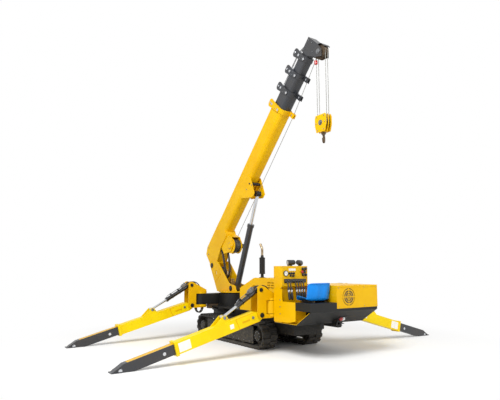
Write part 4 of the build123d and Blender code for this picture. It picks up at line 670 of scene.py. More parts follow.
@dataclass
class Boom:
    """Boom sections, their collars, the ropes along them, the winch and the head.

    T runs up the boom from its foot and V square to it, in millimetres.
    """

    foot: tuple[float, float] = (1839.0, 1453.0)
    elevation_deg: float = 46.2
    width: float = 260.0
    height: float = 365.0
    mid_v: float = 307.5
    step_width: float = 30.0
    step_height: float = 42.0
    bodies: tuple[str, ...] = ("boom", "boom_2", "boom_3", "boom_4", "boom_5")

    collar_t: tuple[float, ...] = (3905.0, 4270.0, 4625.0, 4960.0)
    plate_proud: float = 22.0
    collar_pin: float = 25.0
    low_pin_drop: float = 64.0
    pin_head: Profile = ((0.0, 1.0), (10.0, 1.0), (13.0, 0.75), (16.0, 0.7))
    collar_bolts: Places = ((-30.0, 40.0), (30.0, 40.0), (0.0, -10.0))
    collar_thread: float = 9.0
    lug_back: float = 55.0
    lug_v: float = 550.0
    lug_pin: float = 19.0
    lug_wheel: Profile = ((-15.0, 48.0), (-9.0, 48.0), (-3.0, 38.0), (3.0, 38.0), (9.0, 48.0), (15.0, 48.0))
    clevis_inset: float = 45.0
    clevis_back: float = 25.0
    clevis_drop: float = 77.0
    clevis_count: int = 3
    clevis_pin: Profile = ((26.5, 22.0), (34.5, 22.0), (36.5, 17.0))
    guide_radius: float = 30.0

    rope_radius: float = 6.0
    rope_lay: float = 14.0
    extension_rope_rise: float = 40.0
    extension_rope_y: float = 9.0
    extension_anchor_t: float = 5250.0
    last_lead: float = 0.65
    roller: tuple[float, float] = (2235.0, 62.0)
    roller_profile: Profile = ((-118.0, 24.0), (-112.0, 30.0), (112.0, 30.0), (118.0, 24.0))
    roller_axle: Profile = ((-150.0, 14.0), (-146.0, 18.0), (146.0, 18.0), (150.0, 14.0))
    luff_eye: tuple[float, float] = (2145.0, -150.0)
    eye_profile: Profile = ((-55.5, 48.0), (-54.5, 57.0), (54.5, 57.0), (55.5, 48.0))
    luff_lug_bolts: Places = ((2080.0, 70.0), (2260.0, -20.0))
    luff_lug_face: float = 138.0
    luff_lug_thread: float = 13.0

    drum: tuple[float, float] = (790.0, -220.0)
    drum_radius: float = 128.0
    drum_half: float = 85.0
    drum_turns: int = 14
    steps_per_turn: int = 40
    bearing: Profile = ((112.0, 78.0), (122.0, 78.0), (126.0, 58.0), (134.0, 56.0))
    bearing_face: float = 122.0
    bearing_circle: float = 68.0
    bearing_bolts: int = 8
    bearing_thread: float = 9.0
    motor: Profile = ((138.0, 55.0), (198.0, 55.0), (204.0, 48.0), (238.0, 46.0), (244.0, 38.0))

    sheave: tuple[float, float] = (5172.0, -25.0)
    rope_pitch_radius: float = 116.0
    falls_y: float = 25.0
    drop: float = 1290.0
    head_face: float = 92.0
    head_pin: Profile = ((0.0, 46.0), (8.0, 46.0), (12.0, 34.0), (22.0, 32.0), (24.0, 26.0))
    head_bolts: Places = ((5050.0, 360.0), (5225.0, 360.0), (5225.0, 240.0), (5110.0, 110.0))
    head_thread: float = 12.0
    limit_switch: tuple[float, float, float] = (5079.0, 58.0, 30.0)
    limit_switch_rise: float = 60.0
    limit_switch_size: tuple[float, float, float] = (50.0, 30.0, 70.0)
    limit_cable: float = 100.0
    limit_cable_radius: float = 4.0
    limit_weight: Profile = ((0.0, 12.0), (6.0, 30.0), (70.0, 30.0), (80.0, 18.0))

    neck_bolts: Places = ((40.0, 330.0), (150.0, 420.0))
    neck_face: float = 130.0
    neck_thread: float = 14.0
    hose_y: tuple[float, ...] = (-84.0, -56.0, 56.0, 84.0)
    hose_radius: float = 11.0
    hose_leave: Places = ((430.0, 38.0), (430.0, -60.0), (330.0, -190.0))
    hose_bend: tuple[float, float, float] = (-90.0, 0.0, 140.0)
    hose_end: tuple[float, float] = (1480.0, 1190.0)
    hose_gather: float = 0.8

    def at(self, t: float, v: float, y: float = 0.0) -> Vector:
        """Returns the point at T along the boom, V square to it and Y across, in metres."""
        slope = math.radians(self.elevation_deg)
        x = self.foot[0] - t * math.cos(slope) + v * math.sin(slope)
        z = self.foot[1] + t * math.sin(slope) + v * math.cos(slope)
        return mm(x, y, z)

    def section(self, k: int) -> tuple[float, float, float]:
        """Returns the half width, the low edge and the top edge of a section, counted from the base."""
        half_height = (self.height - k * self.step_height) / 2
        return (self.width - k * self.step_width) / 2, self.mid_v - half_height, self.mid_v + half_height

    def rope(self) -> Section:
        """Returns the section of the ropes."""
        return strands(self.rope_radius)

    def dress(self) -> None:
        """Builds everything on the boom."""
        self.collars()
        self.extension_ropes()
        self.hoist_rope()
        self.luff_fittings()
        self.falls()
        self.winch()
        self.head()
        self.neck()

    def collars(self) -> None:
        """Adds bright pins, rope sheaves, bolts and clevis pins to the four collars."""
        for k, (collar_t, body) in enumerate(zip(self.collar_t, self.bodies)):
            half, low, top = self.section(k)
            face = half + self.plate_proud
            mid_t = collar_t - self.lug_back
            low_pin = self.mid_v - self.low_pin_drop
            pins = Shape()
            bolts = Shape()
            for side in SIDES:
                out = Y_AXIS * side
                for v, radius in (
                    (top, self.collar_pin),
                    (low_pin, self.collar_pin),
                    (self.lug_v, self.lug_pin),
                ):
                    place = self.at(mid_t, v, side * (face - 2 * SINK))
                    pins.turned(place, out, scaled(self.pin_head, radius))
                for t, v in self.collar_bolts:
                    place = self.at(mid_t + t, self.mid_v + v, side * (face - BOLT_SINK))
                    bolts.bolt(place, out, self.collar_thread)
            pins.turned(self.at(mid_t, self.lug_v), Y_AXIS, self.lug_wheel)
            if k < self.clevis_count:
                clevis = self.at(
                    collar_t - self.clevis_back, low - self.clevis_drop, self.clevis_inset - half
                )
                for side in SIDES:
                    pins.turned(clevis, Y_AXIS * side, self.clevis_pin)
            pins.piece(f"collar_pins_{k + 1}", Coat.CHROME, body)
            bolts.piece(f"collar_bolts_{k + 1}", Coat.ZINC, body)

    def rope_span(self, name: str, spans: Iterable[tuple[Vector, Vector]], k: int, coat: Coat) -> None:
        """Makes straight ropes that run between two sliding sections, fixed where they are made.

        Args:
            name: the piece's name.
            spans: the lower and the upper end of each rope.
            k: the number of the section at the ropes' lower ends; the next one has their upper ends. It is
                not used.
            coat: the ropes' finish.
        """
        shape = Shape()
        ends = list(spans)
        for start, end in ends:
            shape.swept(even_run(start, end), self.rope(), self.rope_lay)
        start, end = ends[0]
        piece = shape.piece(name, coat)
        self.bodies[k]
        self.bodies[k + 1]
        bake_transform(piece)

    def extension_ropes(self) -> None:
        """Runs the greased extension ropes from collar to collar over the top."""
        over = self.lug_v + self.extension_rope_rise
        stations = [(collar_t - self.lug_back, over) for collar_t in self.collar_t]
        stations.append((self.extension_anchor_t, self.section(len(self.collar_t))[2]))
        for k, (here, there) in enumerate(zip(stations, stations[1:])):
            lines = [side * self.extension_rope_y for side in SIDES]
            spans = [(self.at(*here, y), self.at(*there, y)) for y in lines]
            self.rope_span(f"extension_ropes_{k + 1}", spans, k, Coat.DARK_ROPE)

    def hoist_rope(self) -> None:
        """Runs the hoist rope from the drum, by the guides under the boom, to the head."""
        reach = self.drum_radius + self.rope_radius
        stations = [self.at(self.drum[0], self.drum[1] + reach, self.rope_radius - self.drum_half)]
        for k in range(self.clevis_count):
            half, low, _ = self.section(k)
            under_guide = low - self.clevis_drop - self.guide_radius - self.rope_radius
            guide_t = self.collar_t[k] - self.clevis_back
            stations.append(self.at(guide_t, under_guide, self.clevis_inset - half))
        head_top = self.at(self.sheave[0], self.sheave[1] + self.rope_pitch_radius, -self.falls_y)
        stations += [stations[-1].lerp(head_top, self.last_lead), head_top]
        lower = Shape()
        lower.swept(even_run(*stations[:2]), self.rope(), self.rope_lay)
        lower.piece("hoist_rope_lower", Coat.ROPE, "boom")
        for k, span in enumerate(zip(stations[1:], stations[2:])):
            self.rope_span(f"hoist_rope_{k + 1}", [span], k, Coat.ROPE)

    def luff_fittings(self) -> None:
        """Adds the roller and bolts at the luffing lugs, and the paint on the rod's eye."""
        roller = Shape()
        for profile in (self.roller_profile, self.roller_axle):
            roller.turned(self.at(*self.roller), Y_AXIS, profile)
        roller.piece("rope_roller", Coat.BLACK, "boom")
        eye = Shape()
        eye.turned(self.at(*self.luff_eye), Y_AXIS, self.eye_profile)
        eye.piece("rod_eye_paint", Coat.BLACK, "luff_rod")
        bolts = Shape()
        for side in SIDES:
            for t, v in self.luff_lug_bolts:
                place = self.at(t, v, side * (self.luff_lug_face - BOLT_SINK))
                bolts.bolt(place, Y_AXIS * side, self.luff_lug_thread)
        bolts.piece("luff_lug_bolts", Coat.ZINC, "boom")

    def falls(self) -> None:
        """Lays the rope over the head's sheaves and hangs its four falls down to the block."""
        head = self.at(*self.sheave)
        steps = 24
        over = Shape()
        falls = Shape()
        for side in SIDES:
            arc = []
            for k in range(steps + 1):
                x, z = on_circle(self.rope_pitch_radius, math.pi * k / steps)
                arc.append(head + mm(x, side * self.falls_y, z))
            over.swept(arc, self.rope(), self.rope_lay)
        over.piece("head_rope_turns", Coat.ROPE, "falls")
        for end in SIDES:
            for side in SIDES:
                top = head + mm(end * self.rope_pitch_radius, side * self.falls_y, 0.0)
                falls.swept(even_run(top, top - mm(0.0, 0.0, self.drop)), self.rope(), self.rope_lay)
        rope = falls.piece("rope_falls", Coat.ROPE)
        tuple(head - mm(0.0, 0.0, self.drop))
        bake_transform(rope)
        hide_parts("hoist_falls")

    def winch(self) -> None:
        """Winds the drum and fits its motor, bearings and bolts."""
        drum = self.at(*self.drum)
        reach = self.drum_radius + self.rope_radius
        half = self.drum_half - self.rope_radius
        count = self.drum_turns * self.steps_per_turn
        wound = []
        for k in range(count + 1):
            x, z = on_circle(reach, k * math.tau / self.steps_per_turn)
            wound.append(drum + mm(x, (2 * k / count - 1) * half, z))
        # Painted shade: the drum's windings take the near-black rope, while the same hoist rope off the drum
        # is pale
        Shape().swept(wound, ring(self.rope_radius, 8)).piece("drum_rope", Coat.DARK_ROPE, "drum")
        motor = Shape()
        motor.turned(drum, -Y_AXIS, self.motor)
        motor.piece("winch_motor", Coat.BLACK, "boom", 2.0)
        bearings = Shape()
        bolts = Shape()
        for side in SIDES:
            out = Y_AXIS * side
            bearings.turned(drum, out, self.bearing)
            face = drum + mm(0.0, side * (self.bearing_face - BOLT_SINK), 0.0)
            bolts.bolts(face, out, self.bearing_circle, self.bearing_bolts, self.bearing_thread)
        bearings.piece("winch_bearings", Coat.YELLOW, "boom", 2.0)
        bolts.piece("winch_bolts", Coat.ZINC, "boom")

    def head(self) -> None:
        """Fits the head's sheave pin, bolts and the hoist limit weight."""
        fittings = Shape()
        for side in SIDES:
            out = Y_AXIS * side
            fittings.turned(self.at(*self.sheave, side * (self.head_face - SINK)), out, self.head_pin)
            for t, v in self.head_bolts:
                fittings.bolt(self.at(t, v, side * (self.head_face - BOLT_SINK)), out, self.head_thread)
        fittings.piece("head_fittings", Coat.ZINC, "boom_5")
        hang = self.at(*self.limit_switch)
        switch_place = hang + mm(0.0, 0.0, self.limit_switch_rise)
        weight_top = hang - mm(0.0, 0.0, self.limit_cable)
        weight = Shape()
        weight.turned(weight_top, -Z_AXIS, self.limit_weight)
        weight.piece("limit_weight", Coat.RED, "falls", 2.0)
        switch = Shape()
        switch.swept(even_run(switch_place, weight_top), ring(self.limit_cable_radius, 8))
        switch.block(switch_place, mm(*self.limit_switch_size))
        switch.piece("limit_switch", Coat.BLACK, "falls")

    def neck(self) -> None:
        """Adds the neck's bolts and the hoses that run from the neck to the column."""
        bolts = Shape()
        for side in SIDES:
            for t, v in self.neck_bolts:
                place = self.at(t, v, side * (self.neck_face - BOLT_SINK))
                bolts.bolt(place, Y_AXIS * side, self.neck_thread)
        bolts.piece("neck_bolts", Coat.ZINC, "boom")
        hoses = Shape()
        end_x, end_z = self.hose_end
        for y in self.hose_y:
            low = mm(end_x, self.hose_gather * y, end_z)
            leave = [self.at(t, v, y) for t, v in self.hose_leave]
            hoses.hose([*leave, low + mm(*self.hose_bend), low], self.hose_radius)
        start = self.at(self.hose_leave[0][0], 0.0)
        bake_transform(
            hoses.piece("neck_hoses", Coat.HOSE_AND_SLOT_SHADE), "boom", "column",
            start=tuple(start), end=tuple(mm(end_x, 0.0, end_z + 50.0)),
        )


@dataclass
class HookBlock:
    """Bolts, pin nuts and sheave rims of the hook block."""

    centre: tuple[float, float] = (-1758.6, 3878.5)
    half_width: float = 70.0
    bolt_places: Places = (
        (-95.0, 105.0), (95.0, 105.0), (-108.0, -5.0), (108.0, -5.0), (-75.0, -130.0), (75.0, -130.0),
    )
    bolt_thread: float = 11.0
    pin_collar: Profile = ((0.0, 48.0), (6.0, 48.0), (8.0, 34.0))
    pin_nut: Profile = ((7.0, 34.0), (21.0, 34.0), (23.0, 30.0))
    sheave_y: float = 25.0
    rim: Profile = (
        (-18.0, 122.0), (-14.0, 124.0), (-7.0, 111.0), (7.0, 111.0), (14.0, 124.0), (18.0, 122.0),
    )

    def dress(self) -> None:
        """Builds the block's fittings."""
        middle = mm(self.centre[0], 0.0, self.centre[1])
        bolts = Shape()
        rims = Shape()
        for side in SIDES:
            out = Y_AXIS * side
            for x, z in self.bolt_places:
                bolts.bolt(middle + mm(x, side * (self.half_width - BOLT_SINK), z), out, self.bolt_thread)
            face = middle + mm(0.0, side * (self.half_width - SINK), 0.0)
            bolts.turned(face, out, self.pin_collar)
            bolts.turned(face, out, self.pin_nut, HEXAGON)
            rims.turned(middle + mm(0.0, side * self.sheave_y, 0.0), Y_AXIS, self.rim, 64)
        bolts.piece("block_bolts", Coat.ZINC, "block")
        rims.piece("block_sheave_rims", Coat.BLACK, "block")


@dataclass
class Column:
    """Pins, swivel, hoses and bolts of the slewing column."""

    slew_x: float = 1135.0
    floor_z: float = 910.5
    cheek_face: float = 159.0
    foot: tuple[float, float] = (1839.0, 1453.0)
    luff_base: tuple[float, float] = (1023.0, 972.0)
    cap: Profile = ((0.0, 56.0), (8.0, 56.0), (10.0, 52.0))
    cap_bolt_rise: float = 8.5
    cap_circle: float = 36.0
    cap_bolts: int = 3
    cap_thread: float = 9.0
    base_bolts: int = 24
    base_circle: float = 312.0
    base_thread: float = 12.0
    # Bolts nearer to the middle than this would stand in the cheeks
    cheek_reach: float = 190.0
    weld: Places = ((1461.0, 1259.0), (1669.0, 1094.0))
    weld_radius: float = 7.0
    swivel_ahead: float = 90.0
    swivel: Profile = (
        (0.0, 95.0), (14.0, 95.0), (18.0, 74.0), (110.0, 74.0),
        (114.0, 64.0), (200.0, 64.0), (206.0, 52.0), (260.0, 50.0),
    )
    hose_count: int = 6
    hose_radius: float = 11.0
    port_circle: float = 70.0

    def dress(self) -> None:
        """Builds the column's fittings."""
        self.caps()
        self.base()
        self.hoses()

    def caps(self) -> None:
        """Closes the ends of the boom's pin and of the luffing cylinder's pin."""
        caps = Shape()
        for x, z in (self.foot, self.luff_base):
            for side in SIDES:
                out = Y_AXIS * side
                caps.turned(mm(x, side * (self.cheek_face - SINK), z), out, self.cap)
                face = mm(x, side * (self.cheek_face + self.cap_bolt_rise), z)
                caps.bolts(face, out, self.cap_circle, self.cap_bolts, self.cap_thread, math.pi / 2)
        caps.piece("column_pin_caps", Coat.BLACK, "column")

    def base(self) -> None:
        """Bolts the column down and welds its cheeks' stiffeners."""
        bolts = Shape()
        for k in range(self.base_bolts):
            x, y = on_circle(self.base_circle, math.tau * (k + 0.5) / self.base_bolts)
            if abs(y) > self.cheek_reach:
                bolts.bolt(mm(self.slew_x + x, y, self.floor_z - BOLT_SINK), Z_AXIS, self.base_thread)
        bolts.piece("column_base_bolts", Coat.ZINC, "column")
        welds = Shape()
        for side in SIDES:
            seam = [mm(x, side * (self.cheek_face - SINK), z) for x, z in self.weld]
            welds.swept(even_run(*seam, WELD_STEP), ring(self.weld_radius, 8))
        welds.piece("column_welds", Coat.YELLOW, "column")

    def hoses(self) -> None:
        """Stands the hydraulic swivel in the column and leads its hoses up to the boom's foot."""
        base = mm(self.slew_x + self.swivel_ahead, 0.0, self.floor_z - SINK)
        swivel = Shape()
        swivel.turned(base, Z_AXIS, self.swivel)
        swivel.piece("hydraulic_swivel", Coat.BRASS, "column", 2.0)
        hoses = Shape()
        for k in range(self.hose_count):
            angle = math.radians(-60 + 24 * k)
            y = -70.0 + 28.0 * k
            leave = base + mm(*on_circle(self.port_circle, angle), 60.0 + 18.0 * (k % 3))
            route = [
                leave,
                leave + mm(*on_circle(90.0, angle), 10.0),
                mm(1480.0 + 12.0 * k, y * 1.2, 1010.0 + 30.0 * (k % 2)),
                mm(1600.0, y * 1.3, 1180.0 + 20.0 * k),
                mm(1560.0 + 25.0 * (k % 3), y, 1330.0),
                mm(1640.0, y * 0.9, 1420.0),
            ]
            hoses.hose(route, self.hose_radius)
        hoses.piece("column_hoses", Coat.HOSE_AND_SLOT_SHADE, "column")


@dataclass
class Outrigger:
    """One outrigger: pins, doublers, pipes, hoses, blank plates and foot fittings.

    Reach runs down the leg from the arm's pin and rise square to it, in millimetres.
    """

    label: str
    beam_x: float
    side: int
    lug_reach: float
    barrel_length: float

    pivot: tuple[float, float] = (936.0, 641.0)
    top_pin: tuple[float, float] = (955.0, 1045.0)
    foot_y: float = 3328.0
    arm_half_width: float = 75.0
    bracket_half: float = 106.0
    pivot_head: float = 40.0
    top_head: float = 34.0
    pin_head: Profile = ((0.0, 1.0), (6.0, 1.0), (7.0, 0.75), (17.0, 0.7), (19.0, 0.55))
    swing_y: float = 700.0
    swing_top: float = 912.0
    swing_cap: Profile = ((0.0, 62.0), (10.0, 62.0), (13.0, 56.0))
    swing_circle: float = 40.0
    swing_bolts: int = 4
    swing_thread: float = 10.0
    swing_bolt_rise: float = 11.0

    lug_rise: float = 170.0
    lug_face: float = 64.0
    rod_pin: Profile = ((0.0, 27.0), (9.0, 27.0), (11.0, 22.0))
    lug_bolt: tuple[float, float] = (-48.0, -34.0)
    lug_thread: float = 9.0
    doubler_face: float = 83.0
    root_bolt: tuple[float, float] = (165.0, 12.0)
    root_thread: float = 24.0
    doubler_weld: Places = ((70.0, -82.0), (445.0, -82.0), (480.0, 82.0), (130.0, 82.0))
    weld_radius: float = 6.5
    weld_rise: float = 3.0
    wear_strip: tuple[tuple[float, float], tuple[float, float]] = ((235.0, -14.0), (380.0, 14.0))
    wear_strip_rise: float = 9.5
    wear_strip_thick: float = 5.0
    # Reach, width and height of the blank plates
    plate_sizes: tuple[tuple[float, float, float], ...] = ((1405.0, 195.0, 135.0), (570.0, 70.0, 70.0))
    plate_rise: float = 0.6
    plate_thick: float = 1.6

    valve_place: tuple[float, float] = (120.0, 62.0)
    valve_size: tuple[float, float, float] = (70.0, 110.0, 50.0)
    # Run along the cylinder and profile of the hexagon plugs on the valve block
    valve_plugs: tuple[tuple[float, Profile], ...] = (
        (95.0, ((0.0, 15.0), (22.0, 15.0), (24.0, 11.0))),
        (140.0, ((0.0, 13.0), (16.0, 13.0), (18.0, 9.0))),
    )
    plug_rise: float = 86.0
    port_place: tuple[float, float] = (174.0, 60.0)
    valve_port: Profile = ((0.0, 12.0), (20.0, 12.0), (22.0, 9.0))
    pipe_x: float = 18.0
    pipe_radius: float = 6.0
    pipe_inset: float = 40.0
    short_pipe: float = 0.55
    clamp_shares: tuple[float, ...] = (0.45, 0.75)
    clamp_circle: float = 42.5
    clamp_band: float = 5.0
    clamp_offset: tuple[float, float] = (8.0, 52.0)
    clamp_size: tuple[float, float, float] = (60.0, 16.0, 30.0)
    hose_x: float = 22.0
    hose_radius: float = 9.0
    loop_x: tuple[float, ...] = (-40.0, 15.0)
    loop: Places = (
        (810.0, 600.0), (812.0, 545.0), (775.0, 490.0), (715.0, 482.0), (665.0, 520.0), (655.0, 600.0),
    )
    loop_radius: float = 12.0

    extension_half: float = 60.0
    extension_rise: float = 75.0
    # Distance from the foot's tip, rise and profile of the pins through the extension
    foot_pins: tuple[tuple[float, float, Profile], ...] = (
        (750.0, -8.0, ((0.0, 24.0), (1.1, 24.0))),
        (95.0, 0.0, ((0.0, 26.0), (3.0, 26.0), (4.0, 22.0))),
    )
    # A yellow strip along the extension's top, painted as the highlight of its lit top face
    strip_start: float = 1300.0
    strip_end: float = 215.0
    strip_half: float = 52.0
    strip_thick: float = 0.2

    @property
    def slope(self) -> float:
        """Returns the leg's slope below level."""
        return math.atan2(self.pivot[1], self.foot_y - self.pivot[0])

    @property
    def barrel_base(self) -> Vector:
        """Returns the middle of the cylinder's pin in the bracket."""
        return mm(self.beam_x, self.side * self.top_pin[0], self.top_pin[1])

    @property
    def barrel_turn(self) -> Matrix:
        """Returns the turn that takes Y along the cylinder and Z to its upper side."""
        along = (self.at(self.lug_reach, self.lug_rise) - self.barrel_base).normalized()
        up = X_AXIS.cross(along)
        return Matrix((X_AXIS, along, up if up.z > 0 else -up)).transposed()

    def at(self, reach: float, rise: float, x: float = 0.0) -> Vector:
        """Returns the point down the leg, square to it and across, in metres."""
        y = self.pivot[0] + reach * math.cos(self.slope) + rise * math.sin(self.slope)
        z = self.pivot[1] - reach * math.sin(self.slope) + rise * math.cos(self.slope)
        return mm(self.beam_x + x, self.side * y, z)

    def on_barrel(self, run: float, rise: float, x: float = 0.0) -> Vector:
        """Returns the point along the cylinder, above its axis and across, in metres."""
        return self.barrel_base + self.barrel_turn @ mm(x, run, rise)

    def make(self, shape: Shape, name: str, coat: Coat, body: str, edge_mm: float = 0.0) -> None:
        """Turns a shape into a piece with this leg's label, on this leg's own body.

        Args:
            shape: the finished shape.
            name: the piece's name without the label.
            coat: its finish.
            body: the body's name without the label.
            edge_mm: width of its broken edges, 0 for none.
        """
        shape.piece(f"{name}_{self.label}", coat, f"{body}_{self.label}", edge_mm)

    def dress(self) -> None:
        """Builds the outrigger's fittings: plates on the rear arms, hose loops on the front brackets."""
        self.pins()
        self.doublers()
        self.barrel_fittings()
        self.barrel_hoses()
        if self.beam_x < 0:
            self.plates()
        else:
            self.swivel_hoses()
        self.foot_fittings()

    def pins(self) -> None:
        """Adds pin heads and bolts to the bracket and the arm."""
        heads = Shape()
        rod_pin = Shape()
        root = Shape()
        for x_side in SIDES:
            out = X_AXIS * x_side
            for (y, z), radius in ((self.pivot, self.pivot_head), (self.top_pin, self.top_head)):
                place = mm(self.beam_x + x_side * (self.bracket_half - SINK), self.side * y, z)
                heads.turned(place, out, scaled(self.pin_head, radius))
            place = self.at(self.lug_reach, self.lug_rise, x_side * (self.lug_face - SINK))
            rod_pin.turned(place, out, self.rod_pin)
            reach, rise = self.lug_reach + self.lug_bolt[0], self.lug_rise + self.lug_bolt[1]
            rod_pin.bolt(self.at(reach, rise, x_side * (self.lug_face - BOLT_SINK)), out, self.lug_thread)
            place = self.at(*self.root_bolt, x_side * (self.doubler_face - BOLT_SINK))
            root.bolt(place, out, self.root_thread)
        self.make(heads, "bracket_pins", Coat.BLACK, "bracket")
        low = mm(self.beam_x, self.side * self.swing_y, self.swing_top)
        cap = Shape()
        cap.turned(low, Z_AXIS, self.swing_cap)
        top = low + mm(0.0, 0.0, self.swing_bolt_rise)
        cap.bolts(top, Z_AXIS, self.swing_circle, self.swing_bolts, self.swing_thread, math.pi / 4)
        self.make(cap, "swing_pin_cap", Coat.ZINC, "bracket")
        self.make(rod_pin, "rod_pin", Coat.ZINC, "arm")
        self.make(root, "arm_root_bolts", Coat.ZINC, "arm")

    def doublers(self) -> None:
        """Adds the weld bead and a wear strip to the doublers on both sides of the arm's root."""
        strips = Shape()
        welds = Shape()
        for x_side in SIDES:
            x = x_side * (self.arm_half_width + self.weld_rise)
            bead = [self.at(reach, rise, x) for reach, rise in self.doubler_weld]
            for start, end in zip(bead, bead[1:]):
                welds.swept(even_run(start, end, WELD_STEP), ring(self.weld_radius, 8))
            x = x_side * (self.arm_half_width + self.wear_strip_rise)
            outline = [self.at(reach, rise, x) for reach, rise in box(*self.wear_strip)]
            strips.slab(outline, mm(self.wear_strip_thick, 0.0, 0.0))
        self.make(strips, "arm_wear_strips", Coat.YELLOW, "arm", 2.0)
        self.make(welds, "arm_welds", Coat.YELLOW, "arm")

    def barrel_fittings(self) -> None:
        """Adds the valve block, the hard pipes and their clamps to the cylinder."""
        turn = self.barrel_turn
        _, along, up = turn.transposed()
        valve = Shape()
        valve.block(self.on_barrel(*self.valve_place), mm(*self.valve_size), turn)
        for run, plug in self.valve_plugs:
            valve.turned(self.on_barrel(run, self.plug_rise), up, plug, HEXAGON)
        valve.turned(self.on_barrel(*self.port_place, self.pipe_x), along, self.valve_port, HEXAGON)
        self.make(valve, "leg_valve", Coat.ZINC, "leg_barrel", 2.0)
        pipes = Shape()
        far = self.barrel_length - self.pipe_inset
        for x, end in ((self.pipe_x, far), (-self.pipe_x, far * self.short_pipe)):
            bends = ((185.0, 60.0), (240.0, 58.0), (end - 60.0, 58.0), (end - 8.0, 57.0), (end, 34.0))
            route = [self.on_barrel(run, rise, x) for run, rise in bends]
            pipes.swept(smooth_run(route), ring(self.pipe_radius))
        self.make(pipes, "leg_pipes", Coat.ZINC, "leg_barrel")
        clamps = Shape()
        steps = 32
        for share in self.clamp_shares:
            run = share * self.barrel_length
            turns = [on_circle(self.clamp_circle, math.tau * k / steps) for k in range(steps + 1)]
            clamps.swept([self.on_barrel(run, rise, x) for rise, x in turns], ring(self.clamp_band, 8))
            past, rise = self.clamp_offset
            clamps.block(self.on_barrel(run + past, rise), mm(*self.clamp_size), turn)
        self.make(clamps, "leg_clamps", Coat.BLACK, "leg_barrel", 1.5)

    def barrel_hoses(self) -> None:
        """Leads two hoses from the valve block over the bracket."""
        base = self.barrel_base
        hoses = Shape()
        for k, x in enumerate((self.hose_x, -self.hose_x)):
            route = [
                self.on_barrel(70.0, 62.0, x),
                self.on_barrel(20.0, 80.0, x),
                base + mm(x, -self.side * 60.0, 72.0 + 12.0 * k),
                base + mm(x * 1.6, -self.side * 190.0, 30.0 + 15.0 * k),
                base + mm(x * 1.6, -self.side * 235.0, -70.0),
            ]
            hoses.hose(route, self.hose_radius)
        piece = hoses.piece(f"leg_hoses_{self.label}", Coat.HOSE_AND_SLOT_SHADE)
        start = base + mm(0.0, -self.side * 120.0, 60.0)
        end = self.on_barrel(40.0, 70.0)
        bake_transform(piece)

    def swivel_hoses(self) -> None:
        """Adds the two hoses that hang in a loop under the bracket's low lip."""
        hoses = Shape()
        for x in self.loop_x:
            hoses.hose([mm(self.beam_x + x, self.side * y, z) for y, z in self.loop], self.loop_radius)
        self.make(hoses, "swivel_hoses", Coat.HOSE_AND_SLOT_SHADE, "bracket")

    def plates(self) -> None:
        """Adds the blank plates on both faces of the arm."""
        plates = Shape()
        for x_side in SIDES:
            x = x_side * (self.arm_half_width + self.plate_rise)
            for reach, width, height in self.plate_sizes:
                corners = box((reach - width / 2, -height / 2), (reach + width / 2, height / 2))
                plates.slab([self.at(*corner, x) for corner in corners], mm(self.plate_thick, 0.0, 0.0))
        self.make(plates, "arm_plates", Coat.LABEL, "arm")

    def foot_fittings(self) -> None:
        """Adds the pins through the extension and a yellow strip along its top, a painted highlight of the
        lit top face.
        """
        length = math.hypot(self.pivot[1], self.foot_y - self.pivot[0])
        pins = Shape()
        for x_side in SIDES:
            for back, rise, profile in self.foot_pins:
                place = self.at(length - back, rise, x_side * (self.extension_half - SINK))
                pins.turned(place, X_AXIS * x_side, profile)
        self.make(pins, "foot_pins", Coat.CHROME, "extension")
        # Painted highlight: a yellow strip where the extension's lit top reads bright yellow-orange
        strip = Shape()
        corners = box((self.strip_start, self.strip_half), (length - self.strip_end, -self.strip_half))
        thickness = self.at(0.0, self.strip_thick) - self.at(0.0, 0.0)
        strip.slab([self.at(reach, self.extension_rise, x) for reach, x in corners], thickness)
        self.make(strip, "extension_top_highlight", Coat.YELLOW, "extension")


